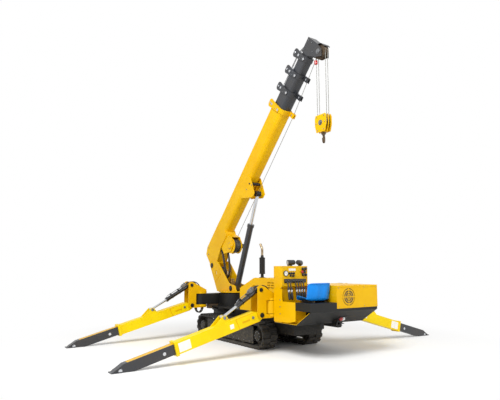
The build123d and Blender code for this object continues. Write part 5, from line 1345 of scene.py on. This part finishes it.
@dataclass
class Undercarriage:
    """Covers and bolts on the track frames, and the valve blocks under the front beam."""

    mid_x: float = 331.0
    wheel_span: float = 1992.0
    axle_z: float = 228.0
    track_y: float = 515.0
    hub_reach: float = 124.0
    hub_cover: Profile = ((0.0, 84.0), (6.0, 84.0), (10.0, 60.0), (18.0, 56.0))
    hub_bolt_rise: float = 5.0
    hub_circle: float = 72.0
    hub_bolts: int = 8
    thread: float = 10.0
    cover_reach: float = 104.0
    cover_size: tuple[float, float, float] = (1680.0, 6.0, 304.0)
    flange_reach: float = 86.0
    flange_rise: float = 50.0
    flange_size: tuple[float, float, float] = (1660.0, 36.0, 20.0)
    cover_bolts: int = 9
    cover_bolt_pitch: float = 180.0
    cover_bolt_drop: float = 118.0

    manifold: tuple[float, float, float] = (1294.0, 440.0, 612.0)
    manifold_size: tuple[float, float, float] = (130.0, 210.0, 100.0)
    port_count: int = 3
    port_first: tuple[float, float] = (372.0, 610.0)
    port_step: tuple[float, float] = (66.0, -14.0)
    port: Profile = ((0.0, 19.0), (14.0, 19.0), (16.0, 13.0), (40.0, 13.0))
    hose_first_z: float = 566.0
    hose_step_z: float = -26.0
    hose_radius: float = 12.0

    def dress(self) -> None:
        """Builds the undercarriage's fittings."""
        self.track_covers()
        self.manifolds()

    def track_covers(self) -> None:
        """Fits hub covers, the sheet covers over the rollers and their bolts."""
        covers = Shape()
        plates = Shape()
        bolts = Shape()
        cover_face = self.cover_reach + self.cover_size[1] / 2
        for side in SIDES:
            out = Y_AXIS * side
            for end in SIDES:
                hub_x = self.mid_x + end * self.wheel_span / 2
                hub = mm(hub_x, side * (self.track_y + self.hub_reach), self.axle_z)
                covers.turned(hub, out, self.hub_cover, 48)
                face = hub + mm(0.0, side * self.hub_bolt_rise, 0.0)
                bolts.bolts(face, out, self.hub_circle, self.hub_bolts, self.thread)
            middle = mm(self.mid_x, side * (self.track_y + self.cover_reach), self.axle_z)
            plates.block(middle, mm(*self.cover_size))
            flange_y = side * (self.track_y + self.flange_reach)
            middle = mm(self.mid_x, flange_y, self.axle_z + self.flange_rise)
            plates.block(middle, mm(*self.flange_size))
            for k in range(self.cover_bolts):
                x = self.mid_x + (k - (self.cover_bolts - 1) / 2) * self.cover_bolt_pitch
                y = side * (self.track_y + cover_face - BOLT_SINK)
                bolts.bolt(mm(x, y, self.axle_z - self.cover_bolt_drop), out, self.thread)
        covers.piece("hub_covers", Coat.BLACK, "chassis", 1.5)
        plates.piece("roller_covers", Coat.BLACK, "chassis", 1.5)
        bolts.piece("track_frame_bolts", Coat.ZINC, "chassis")

    def manifolds(self) -> None:
        """Hangs a valve block with fittings and hoses under each end of the front beam."""
        blocks = Shape()
        fittings = Shape()
        hoses = Shape()
        x, middle_y, middle_z = self.manifold
        rear_x = x - self.manifold_size[0] / 2 + SINK
        for side in SIDES:
            blocks.block(mm(x, side * middle_y, middle_z), mm(*self.manifold_size))
            for k in range(self.port_count):
                y, z = (first + k * step for first, step in zip(self.port_first, self.port_step))
                fittings.turned(mm(rear_x, side * y, z), -X_AXIS, self.port, HEXAGON)
                low = self.hose_first_z + k * self.hose_step_z
                route = (
                    (-95.0, y, z), (-150.0, y - 6.0, low + 12.0), (-230.0, 345.0, low),
                    (-330.0, 314.0, low), (-620.0, 312.0, low),
                )
                bends = [mm(x + back, side * across, up) for back, across, up in route]
                hoses.hose(bends, self.hose_radius)
        blocks.piece("beam_manifolds", Coat.IRON, "chassis", 3.0)
        fittings.piece("manifold_fittings", Coat.BRASS, "chassis")
        hoses.piece("manifold_hoses", Coat.HOSE_AND_SLOT_SHADE, "chassis")


@dataclass
class RearBody:
    """Console fittings, levers, seat, lamps and small hardware of the rear body."""

    stern_x: float = -2177.0
    half_width: float = 729.0
    console_x: float = -1500.0
    console_top: float = 1430.0
    paint: float = 0.5
    deck_z: float = 867.0

    lever_steps: tuple[int, ...] = (0, 1, 3, 4, 5, 6)
    lever_first: float = 659.0
    lever_pitch: float = 54.0
    lever_z: float = 1185.0
    lever_radius: float = 8.0
    gaiter: Profile = (
        (-1.0, 24.0), (6.0, 24.0), (10.0, 19.0), (16.0, 21.0), (22.0, 15.0), (28.0, 16.0), (34.0, 9.0),
    )
    # Distance behind the console and height of the bent shaft, its sleeve, its band and its grip
    shaft: Places = ((20.0, 1185.0), (60.0, 1180.0), (68.0, 1120.0), (82.0, 1040.0), (88.0, 1005.0))
    grip_way: Places = ((88.0, 1008.0), (108.0, 885.0))
    sleeve_place: tuple[float, float] = (74.0, 1092.0)
    sleeve: Profile = ((0.0, 9.0), (3.0, 20.0), (40.0, 20.0), (43.0, 9.0))
    band_place: tuple[float, float] = (81.0, 1052.0)
    band: Profile = ((0.0, 7.0), (3.0, 19.0), (40.0, 19.0), (46.0, 11.0))
    grip_place: tuple[float, float] = (88.0, 1010.0)
    grip: Profile = ((4.0, 9.0), (8.0, 20.0), (60.0, 22.0), (100.0, 20.0), (118.0, 14.0), (124.0, 6.0))

    gauge: tuple[float, float] = (657.0, 1311.0)
    gauge_rim: Profile = ((-1.0, 46.0), (12.0, 46.0), (16.0, 42.0), (16.0, 38.0), (10.0, 37.0))
    gauge_dial: Profile = ((10.0, 37.5), (11.5, 37.0))
    gauge_marks: int = 9
    mark_size: tuple[float, float, float] = (1.0, 3.0, 3.0)
    mark_circle: float = 31.0
    mark_first_deg: float = -40.0
    mark_step_deg: float = 32.5
    needle: Places = ((-2.0, -6.0), (2.0, -6.0), (15.0, 27.0))
    needle_lift: float = 12.5
    needle_thick: float = 1.0
    needle_hub: Profile = ((-1.0, 5.0), (2.0, 5.0))
    name_plate: tuple[tuple[float, float], tuple[float, float]] = ((590.0, 1352.0), (450.0, 1390.0))
    name_plate_thick: float = 3.0
    valve_cover: tuple[tuple[float, float], tuple[float, float]] = ((690.0, 1160.0), (235.0, 1222.0))
    valve_cover_thick: float = 8.0
    switches: Places = ((578.0, 1312.0), (534.0, 1312.0), (490.0, 1312.0), (556.0, 1274.0), (500.0, 1270.0))
    switch: Profile = ((-1.0, 20.0), (6.0, 20.0), (8.0, 14.0), (26.0, 12.0), (28.0, 9.0))
    knobs: Places = ((296.0, 1384.0), (240.0, 1388.0), (262.0, 1338.0), (296.0, 1288.0), (240.0, 1288.0))
    knob: Profile = ((-1.0, 25.0), (8.0, 25.0), (10.0, 20.0), (28.0, 19.0), (31.0, 14.0))
    screw_thread: float = 6.0
    rear_screws: tuple[tuple[float, ...], tuple[float, ...]] = ((215.0, 460.0, 710.0), (1412.0, 1125.0))
    side_screws: tuple[tuple[float, ...], tuple[float, ...]] = ((-1480.0, -1300.0), (1410.0, 1240.0, 1085.0))
    stop: tuple[float, float] = (322.0, 1335.0)
    stop_button: Profile = ((-1.0, 13.0), (14.0, 13.0), (15.0, 25.0), (24.0, 25.0), (30.0, 18.0))

    lamp_x: float = -1375.0
    # Y and lean in degrees of the work lamps
    work_lamps: Places = ((440.0, 68.0), (270.0, -58.0))
    lamp_rise: float = 58.0
    lamp_back: float = 70.0
    lamp_dip: float = -0.1
    lamp_foot: Profile = ((0.0, 30.0), (5.0, 30.0), (8.0, 12.0), (35.0, 11.0))
    lamp_bowl: Profile = (
        (0.0, 26.0), (16.0, 40.0), (118.0, 50.0), (136.0, 50.0), (136.0, 46.0), (128.0, 45.0),
    )
    lamp_glass: Profile = ((128.0, 45.5), (131.0, 38.0), (133.0, 24.0))
    stern_slant: Places = ((-1835.0, 515.0), (-2177.0, 735.0))
    tail_lamp: tuple[float, float, float] = (-1975.0, -100.0, 604.0)
    tail_base_rise: float = 4.0
    tail_base_size: tuple[float, float, float] = (100.0, 150.0, 12.0)
    tail_red_y: float = -80.0
    tail_clear_y: float = -125.0
    tail_glass: Profile = ((0.0, 34.0), (22.0, 34.0), (34.0, 30.0), (40.0, 20.0))

    seat_mid_y: float = 420.0
    seat_half: float = 228.0
    # X, Z and share of the width of the bucket's rows, from its front lip to the top of its back
    seat_line: tuple[tuple[float, float, float], ...] = (
        (-1738.0, 884.0, 0.88), (-1735.0, 904.0, 0.93), (-1752.0, 922.0, 0.97), (-1830.0, 920.0, 1.0),
        (-1920.0, 904.0, 1.0), (-2000.0, 898.0, 1.0), (-2050.0, 908.0, 1.0), (-2062.0, 975.0, 1.0),
        (-2070.0, 1050.0, 1.0), (-2078.0, 1125.0, 1.0), (-2083.0, 1162.0, 1.0), (-2094.0, 1171.0, 0.99),
        (-2106.0, 1164.0, 0.99),
    )
    seat_columns: int = 20
    pan_rows: int = 6
    lip_rows: int = 2
    crest_row: int = 9
    lip_lift: float = 20.0
    pan_lift: float = 52.0
    back_wrap: float = 56.0
    panel_depth: float = 12.0
    panel_mid: float = 0.4
    panel_half: float = 0.2
    corner_drop: float = 18.0
    seat_wall: float = 9.0
    slide_x: float = -1900.0
    slide_y: float = 120.0
    # Height over the deck and size of the lower and the upper slide
    slides: tuple[tuple[float, tuple[float, float, float]], ...] = (
        (8.0, (300.0, 40.0, 18.0)), (24.0, (260.0, 30.0, 16.0)),
    )

    panel_bolt_x: float = -1440.0
    panel_bolt_z: tuple[float, ...] = (670.0, 780.0, 888.0)
    panel_thread: float = 10.0
    box_bolt_y: tuple[float, ...] = (-690.0, -420.0, 140.0)
    box_bolt_z: tuple[float, ...] = (1090.0, 800.0)
    box_thread: float = 7.0
    # The vent's inner slots and the disc behind them are painted shade: dark sheets where the slots open
    # into the box
    vent_mid: tuple[float, float] = (-75.0, 947.0)
    vent_rings: tuple[float, ...] = (34.0, 68.0, 101.0)
    vent_slot: float = 21.0
    vent_band: float = 16.0
    vent_steps: int = 10
    vent_thick: float = 1.2
    vent_backing_shade: Profile = ((0.5, 142.0), (2.0, 142.0))
    box_wall: float = 6.0
    lid_flange: tuple[tuple[float, float], tuple[float, float]] = ((180.0, 1098.0), (-724.0, 1124.0))
    lid_flange_thick: float = 4.0

    def dress(self) -> None:
        """Builds the rear body's fittings."""
        self.levers()
        self.panel()
        self.screws()
        self.work_lights()
        self.tail_lights()
        self.seat()
        self.hardware()

    def levers(self) -> None:
        """Replaces the plain levers with dark shafts, gaiters, moulded grips and chromed bands."""
        bands = Shape()
        grips = Shape()
        for step in self.lever_steps:
            y = self.lever_first - step * self.lever_pitch
            grips.turned(mm(self.console_x, y, self.lever_z), -X_AXIS, self.gaiter, 20)
            shaft = [mm(self.console_x - back, y, z) for back, z in self.shaft]
            grips.swept(smooth_run(shaft), ring(self.lever_radius))
            top, tip = (mm(self.console_x - back, y, z) for back, z in self.grip_way)
            for shape, (back, z), profile, sides in (
                (grips, self.grip_place, self.grip, 20),
                (grips, self.sleeve_place, self.sleeve, 16),
                (bands, self.band_place, self.band, 20),
            ):
                shape.turned(mm(self.console_x - back, y, z), (tip - top).normalized(), profile, sides)
        levers = bands.piece("lever_shafts", Coat.CHROME, "chassis")
        grips.piece("lever_grips", Coat.GRIP, "chassis")
        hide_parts("control_levers")

    def panel(self) -> None:
        """Fits the gauge, switches, knobs and a blank plate on the console's rear face."""
        face = self.console_x - self.paint
        back = -X_AXIS
        gauge = mm(face, *self.gauge)
        dial = Shape()
        dial.turned(gauge, back, self.gauge_dial, 48)
        middle_x = face - self.name_plate_thick / 2
        outline = [mm(middle_x, y, z) for y, z in box(*self.name_plate)]
        dial.slab(outline, mm(self.name_plate_thick, 0.0, 0.0))
        dial.piece("gauge_dial", Coat.LABEL, "chassis")
        dark = Shape()
        dark.turned(gauge, back, self.gauge_rim, 48)
        pivot = gauge + back * (self.needle_lift * MM)
        dark.slab([pivot + mm(0.0, y, z) for y, z in self.needle], mm(self.needle_thick, 0.0, 0.0))
        dark.turned(pivot, back, self.needle_hub, 16)
        for k in range(self.gauge_marks):
            y, z = on_circle(self.mark_circle, math.radians(self.mark_first_deg + k * self.mark_step_deg))
            dark.block(pivot + mm(self.needle_thick / 2, y, z), mm(*self.mark_size))
        for places, profile in ((self.switches, self.switch), (self.knobs, self.knob)):
            for place in places:
                dark.turned(mm(face, *place), back, profile, 24)
        middle_x = face - self.valve_cover_thick / 2
        outline = [mm(middle_x, y, z) for y, z in box(*self.valve_cover)]
        dark.slab(outline, mm(self.valve_cover_thick, 0.0, 0.0))
        dark.piece("console_switches", Coat.GRIP, "chassis", 1.0)
        stop = Shape()
        stop.turned(mm(face, *self.stop), back, self.stop_button, 32)
        stop.piece("stop_button", Coat.RED, "chassis")

    def screws(self) -> None:
        """Screws the console's rear face and its left side on."""
        screws = Shape()
        columns, heights = self.rear_screws
        for y in columns:
            for z in heights:
                screws.bolt(mm(self.console_x - self.paint, y, z), -X_AXIS, self.screw_thread)
        columns, heights = self.side_screws
        for x in columns:
            for z in heights:
                screws.bolt(mm(x, self.half_width - BOLT_SINK, z), Y_AXIS, self.screw_thread)
        screws.piece("console_screws", Coat.ZINC, "chassis")

    def work_lights(self) -> None:
        """Fits the two swivelling lamps on the console."""
        bowls = Shape()
        glass = Shape()
        for y, lean in self.work_lamps:
            foot = mm(self.lamp_x, y, self.console_top - SINK)
            bowls.turned(foot, Z_AXIS, self.lamp_foot, 20)
            aim = Vector((*on_circle(1.0, math.radians(lean)), self.lamp_dip)).normalized()
            start = foot + mm(0.0, 0.0, self.lamp_rise) - aim * (self.lamp_back * MM)
            bowls.turned(start, aim, self.lamp_bowl, 28)
            glass.turned(start, aim, self.lamp_glass, 28)
        bowls.piece("work_lamps", Coat.GRIP, "chassis", 1.0)
        glass.piece("work_lamp_glass", Coat.LENS, "chassis")

    def tail_lights(self) -> None:
        """Fits the tail lamp under the slanted stern."""
        low, high = (mm(x, 0.0, z) for x, z in self.stern_slant)
        slant = (high - low).normalized()
        out = Y_AXIS.cross(slant)
        out = out if out.x < 0 else -out
        x, middle_y, z = self.tail_lamp
        for name, y, coat in (
            ("tail_lamp_red", self.tail_red_y, Coat.RED), ("tail_lamp_clear", self.tail_clear_y, Coat.LENS),
        ):
            lamp = Shape()
            lamp.turned(mm(x, y, z), out, self.tail_glass, 32)
            lamp.piece(name, coat, "chassis")
        base = Shape()
        turn = Matrix((slant, Y_AXIS, out)).transposed()
        middle = mm(x, middle_y, z) + out * (self.tail_base_rise * MM)
        base.block(middle, mm(*self.tail_base_size), turn)
        base.piece("tail_lamp_base", Coat.GRIP, "chassis", 2.0)

    def seat_point(self, k: int, u: float) -> Vector:
        """Returns a point of the bucket.

        Args:
            k: the row, from the front lip to the top of the back.
            u: the place across, from -1 to 1.

        Returns:
            The point, in metres.
        """
        x, z, share = self.seat_line[k]
        rim = abs(u) ** 4
        if k < self.pan_rows:
            z += rim * (self.pan_lift if k >= self.lip_rows else self.lip_lift)
        else:
            x += rim * self.back_wrap
            if k < self.crest_row:
                x -= self.panel_depth * math.exp(-((abs(u) - self.panel_mid) / self.panel_half) ** 4)
        if k >= self.crest_row:
            z -= self.corner_drop * abs(u) ** 10
        return mm(x, self.seat_mid_y + u * self.seat_half * share, z)

    def seat(self) -> None:
        """Replaces the plain seat with a moulded bucket on two slides."""
        bowl = bmesh.new()
        across = self.seat_columns
        rows = []
        for k in range(len(self.seat_line)):
            rows.append([bowl.verts.new(self.seat_point(k, 2 * j / across - 1)) for j in range(across + 1)])
        for low, high in zip(rows, rows[1:]):
            for j in range(across):
                bowl.faces.new((low[j], low[j + 1], high[j + 1], high[j]))
        mesh = bpy.data.meshes.new("seat_bucket")
        bowl.to_mesh(mesh)
        bowl.free()
        mesh.shade_smooth()
        seat = bpy.data.objects.new("seat_bucket", mesh)
        bpy.context.scene.collection.objects.link(seat)
        wall = seat.modifiers.new("wall", "SOLIDIFY")
        wall.thickness = self.seat_wall * MM
        wall.offset = -1.0
        smooth = seat.modifiers.new("smooth", "SUBSURF")
        smooth.levels = smooth.render_levels = 2
        coat_object(seat, Coat.SEAT)
        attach(seat, "chassis")
        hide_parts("seat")
        LOG.info("made %s", seat.name)
        slides = Shape()
        for side in SIDES:
            for rise, size in self.slides:
                place = mm(self.slide_x, self.seat_mid_y - side * self.slide_y, self.deck_z + rise)
                slides.block(place, mm(*size))
        slides.piece("seat_slides", Coat.BLACK, "chassis", 1.5)

    def hardware(self) -> None:
        """Adds the bolts of the panels, painted shade for the vent's inner slots (dark sheets in the slots
        and a dark disc behind them) and the flange under the box's lid.
        """
        bolts = Shape()
        for z in self.panel_bolt_z:
            bolts.bolt(mm(self.panel_bolt_x, self.half_width - BOLT_SINK, z), Y_AXIS, self.panel_thread)
        for y in self.box_bolt_y:
            for z in self.box_bolt_z:
                bolts.bolt(mm(self.stern_x + BOLT_SINK, y, z), -X_AXIS, self.box_thread)
        bolts.piece("body_bolts", Coat.ZINC, "chassis")
        # Painted shade: dark sheets in the vent's slots, and a dark disc inside the box behind them
        slots = Shape()
        for reach in self.vent_rings:
            gap = math.asin(self.vent_band / 2 / (reach - self.vent_slot / 2))
            span = math.pi / 2 - 2 * gap
            for quarter in range(4):
                first = quarter * math.pi / 2 + gap
                turns = [first + span * k / self.vent_steps for k in range(self.vent_steps + 1)]
                for turn in zip(turns, turns[1:]):
                    slots.slab(self.vent_cell(*turn, reach), mm(self.vent_thick, 0.0, 0.0))
        slots.turned(mm(self.stern_x + self.box_wall, *self.vent_mid), X_AXIS, self.vent_backing_shade, 48)
        slots.piece("vent_slot_shade", Coat.HOSE_AND_SLOT_SHADE, "chassis")
        flange = Shape()
        outline = [mm(self.stern_x - SINK, y, z) for y, z in box(*self.lid_flange)]
        flange.slab(outline, mm(self.lid_flange_thick, 0.0, 0.0))
        flange.piece("box_lid_flange", Coat.YELLOW, "chassis", 1.0)

    def vent_cell(self, start: float, end: float, reach: float) -> list[Vector]:
        """Returns the corners of a short stretch of a vent slot's painted shade, between two angles, inside
        a radius.
        """
        inner = reach - self.vent_slot
        corners = []
        for radius, angle in ((reach, start), (reach, end), (inner, end), (inner, start)):
            y, z = on_circle(radius, angle)
            corners.append(mm(self.stern_x, self.vent_mid[0] + y, self.vent_mid[1] + z))
        return corners


@dataclass
class Hood:
    """Louvre blades of the hood and the bands of the exhaust."""

    half_width: float = 500.0
    top_z: float = 1220.0
    # Side and lowest blade of the louvres
    louvres: tuple[tuple[int, float], ...] = ((1, 1055.0), (-1, 890.0))
    louvre_x: tuple[float, ...] = (-925.0, -815.0)
    blade_rows: int = 3
    blade_pitch: float = 43.0
    blade: tuple[tuple[float, float], tuple[float, float]] = ((-45.0, 6.0), (45.0, 14.0))
    blade_proud: float = 4.0
    blade_thick: float = 10.0

    exhaust: tuple[float, float] = (-405.0, 350.0)
    band_z: tuple[float, ...] = (1300.0, 1575.0)
    band: Profile = ((-8.0, 54.5), (8.0, 54.5))
    flange: Profile = ((0.0, 60.0), (8.0, 60.0), (10.0, 30.0), (66.0, 28.0))
    cone_z: float = 1586.0
    cone: Profile = ((0.0, 40.0), (10.0, 30.0), (40.0, 26.0), (44.0, 24.0))

    def dress(self) -> None:
        """Builds the hood's fittings."""
        blades = Shape()
        for side, first_z in self.louvres:
            y = side * (self.half_width + self.blade_proud)
            for x in self.louvre_x:
                for row in range(self.blade_rows):
                    z = first_z + row * self.blade_pitch
                    corners = [mm(x + dx, y, z + dz) for dx, dz in box(*self.blade)]
                    blades.slab(corners, mm(0.0, self.blade_thick, 0.0))
        blades.piece("hood_louvres", Coat.YELLOW, "chassis", 2.0)
        bands = Shape()
        for z in self.band_z:
            bands.turned(mm(*self.exhaust, z), Z_AXIS, self.band, 40)
        for z, profile in ((self.top_z - SINK, self.flange), (self.cone_z, self.cone)):
            bands.turned(mm(*self.exhaust, z), Z_AXIS, profile)
        bands.piece("muffler_bands", Coat.BLACK, "chassis", 1.0)


@dataclass
class Studio:
    """Floor, light and the camera at the photograph's angle; places in metres."""

    focal_px: float = 478.9
    frame_px: float = 500.0
    sensor_mm: float = 36.0
    camera_place: tuple[float, float, float] = (-7.725, 5.498, 1.405)
    yaw_deg: float = -33.67
    pitch_deg: float = 8.03
    floor_half: float = 60.0
    floor_colour: str = "F6F6F5"
    floor_roughness: float = 0.9
    white: str = "FFFFFF"
    # Distance from the middle at which the floor starts to turn white, and where it is all white
    floor_fade: tuple[float, float] = (2.2, 5.0)
    room_strength: float = 0.45
    lamp_aim: tuple[float, float, float] = (0.0, 0.0, 1.5)

    def build(self) -> None:
        """Builds the floor, the lamps, the world and the camera."""
        bpy.context.scene.view_settings.view_transform = "Standard"
        self.floor()
        self.world()
        self.lamp("key_window", (-6.0, 9.0, 11.0), 6.0, 1900.0)
        self.lamp("fill_window", (-10.0, -6.0, 6.0), 8.0, 420.0)
        self.camera()

    def camera(self) -> None:
        """Sets the camera up."""
        lens = bpy.data.cameras.new("camera")
        lens.sensor_width = self.sensor_mm
        lens.lens = self.focal_px / self.frame_px * self.sensor_mm
        camera = bpy.data.objects.new("camera", lens)
        bpy.context.scene.collection.objects.link(camera)
        level, rise = on_circle(1.0, math.radians(self.pitch_deg))
        aim = Vector((*on_circle(level, math.radians(self.yaw_deg)), rise))
        camera.location = self.camera_place
        camera.rotation_euler = aim.to_track_quat("-Z", "Y").to_euler()
        bpy.context.scene.camera = camera

    @staticmethod
    def background_rays(tree: bpy.types.NodeTree) -> bpy.types.NodeSocket:
        """Picks the rays that show the background: the camera's own, mirrored ones and those through glass.

        Args:
            tree: the node tree of the floor or the world.

        Returns:
            A socket that is 1 for such rays and 0 for the light's own.
        """
        path = add_node(tree, "ShaderNodeLightPath")
        rays = path.outputs["Is Camera Ray"]
        for kind in ("Is Glossy Ray", "Is Transmission Ray"):
            pair = {0: rays, 1: path.outputs[kind]}
            rays = add_node(tree, "ShaderNodeMath", {"operation": "MAXIMUM"}, pair).outputs[0]
        return rays

    def floor(self) -> None:
        """Lays the pale floor, which keeps the shadow and turns white further out."""
        mesh = bpy.data.meshes.new("studio_floor")
        half = self.floor_half
        corners = [(*corner, 0.0) for corner in box((-half, -half), (half, half))]
        mesh.from_pydata(corners, [], [(0, 1, 2, 3)])
        floor = bpy.data.objects.new("studio_floor", mesh)
        bpy.context.scene.collection.objects.link(floor)
        # Matt emulsion on board: pale, with no sheen
        material = bpy.data.materials.new("pale_studio_floor")
        material.use_nodes = True
        tree = material.node_tree
        tree.nodes.clear()
        paint = {"Base Color": to_linear(self.floor_colour), "Roughness": self.floor_roughness}
        matt = add_node(tree, "ShaderNodeBsdfPrincipled", paint)
        where = add_node(tree, "ShaderNodeNewGeometry").outputs["Position"]
        reach = add_node(tree, "ShaderNodeVectorMath", {"operation": "LENGTH"}, {0: where})
        near, far = self.floor_fade
        fade = add_node(
            tree,
            "ShaderNodeMapRange",
            {"From Min": near, "From Max": far, "interpolation_type": "SMOOTHSTEP"},
            {"Value": reach.outputs["Value"]},
        )
        pair = {0: fade.outputs["Result"], 1: self.background_rays(tree)}
        share = add_node(tree, "ShaderNodeMath", {"operation": "MULTIPLY"}, pair)
        white = add_node(tree, "ShaderNodeEmission", {"Color": to_linear(self.white), "Strength": 1.0})
        mixed = {0: share.outputs[0], 1: matt.outputs[0], 2: white.outputs[0]}
        mix = add_node(tree, "ShaderNodeMixShader", None, mixed)
        add_node(tree, "ShaderNodeOutputMaterial", None, {"Surface": mix.outputs[0]})
        mesh.materials.append(material)

    def world(self) -> None:
        """Lights the room evenly and shows plain white behind the machine."""
        world = bpy.data.worlds.new("studio_world")
        bpy.context.scene.world = world
        world.use_nodes = True
        tree = world.node_tree
        tree.nodes.clear()
        soft, white = (
            add_node(tree, "ShaderNodeBackground", {"Color": to_linear(self.white), "Strength": strength})
            for strength in (self.room_strength, 1.0)
        )
        mixed = {0: self.background_rays(tree), 1: soft.outputs[0], 2: white.outputs[0]}
        mix = add_node(tree, "ShaderNodeMixShader", None, mixed)
        add_node(tree, "ShaderNodeOutputWorld", None, {"Surface": mix.outputs[0]})

    def lamp(self, name: str, place: tuple[float, float, float], size: float, power: float) -> None:
        """Adds a soft square lamp that looks at the machine's middle.

        Args:
            name: the lamp's name.
            place: where it stands, in metres.
            size: the side of its square, in metres.
            power: its power in watts.
        """
        light = bpy.data.lights.new(name, "AREA")
        light.shape = "SQUARE"
        light.size = size
        light.energy = power
        lamp = bpy.data.objects.new(name, light)
        lamp.location = place
        lamp.rotation_euler = (Vector(self.lamp_aim) - Vector(place)).to_track_quat("-Z", "Y").to_euler()
        bpy.context.scene.collection.objects.link(lamp)


# Label, X of the beam, side, the rod lug's reach down the arm and the barrel's length
OUTRIGGERS = (
    ("front_left", 1354.0, 1, 830.0, 590.0),
    ("front_right", 1354.0, -1, 830.0, 590.0),
    ("rear_left", -1128.0, 1, 660.0, 480.0),
    ("rear_right", -1128.0, -1, 660.0, 480.0),
)


@dataclass
class CarriedSolids:
    """Finishes of the solids that are shown as they are."""

    bevel_mm: float = 3.0
    thin_bevel_mm: float = 0.8
    thin: tuple[str, ...] = ("engine_box", "hood", "foot_floor")
    special: dict[str, Coat] = field(
        default_factory=lambda: {"tail_pipe": Coat.PIPE}
        | {f"leg_barrel_{row[0]}": Coat.GLOSS for row in OUTRIGGERS}
    )

    def dress(self) -> None:
        """Coats every solid by its record slot and softens its edges."""
        by_slot: dict[str, Coat] = {}
        for coat in Coat:
            by_slot.setdefault(coat.value.slot, coat)
        slots = {part["node"]: part["material_slot"] for part in frame["record"]["subparts"]}
        for name, node in frame["nodes"].items():
            coat_object(node, self.special.get(name, by_slot[slots[name]]))
            break_edges(node, self.thin_bevel_mm if name in self.thin else self.bevel_mm)
        LOG.info("dressed %d solids", len(frame["nodes"]))


def main() -> None:
    """Builds the studio and dresses the crane."""
    logging.basicConfig(level=logging.INFO)
    Studio().build()
    CarriedSolids().dress()
    Boom().dress()
    HookBlock().dress()
    Column().dress()
    for row in OUTRIGGERS:
        Outrigger(*row).dress()
    Undercarriage().dress()
    RearBody().dress()
    Hood().dress()


if __name__ == "__main__":
    main()
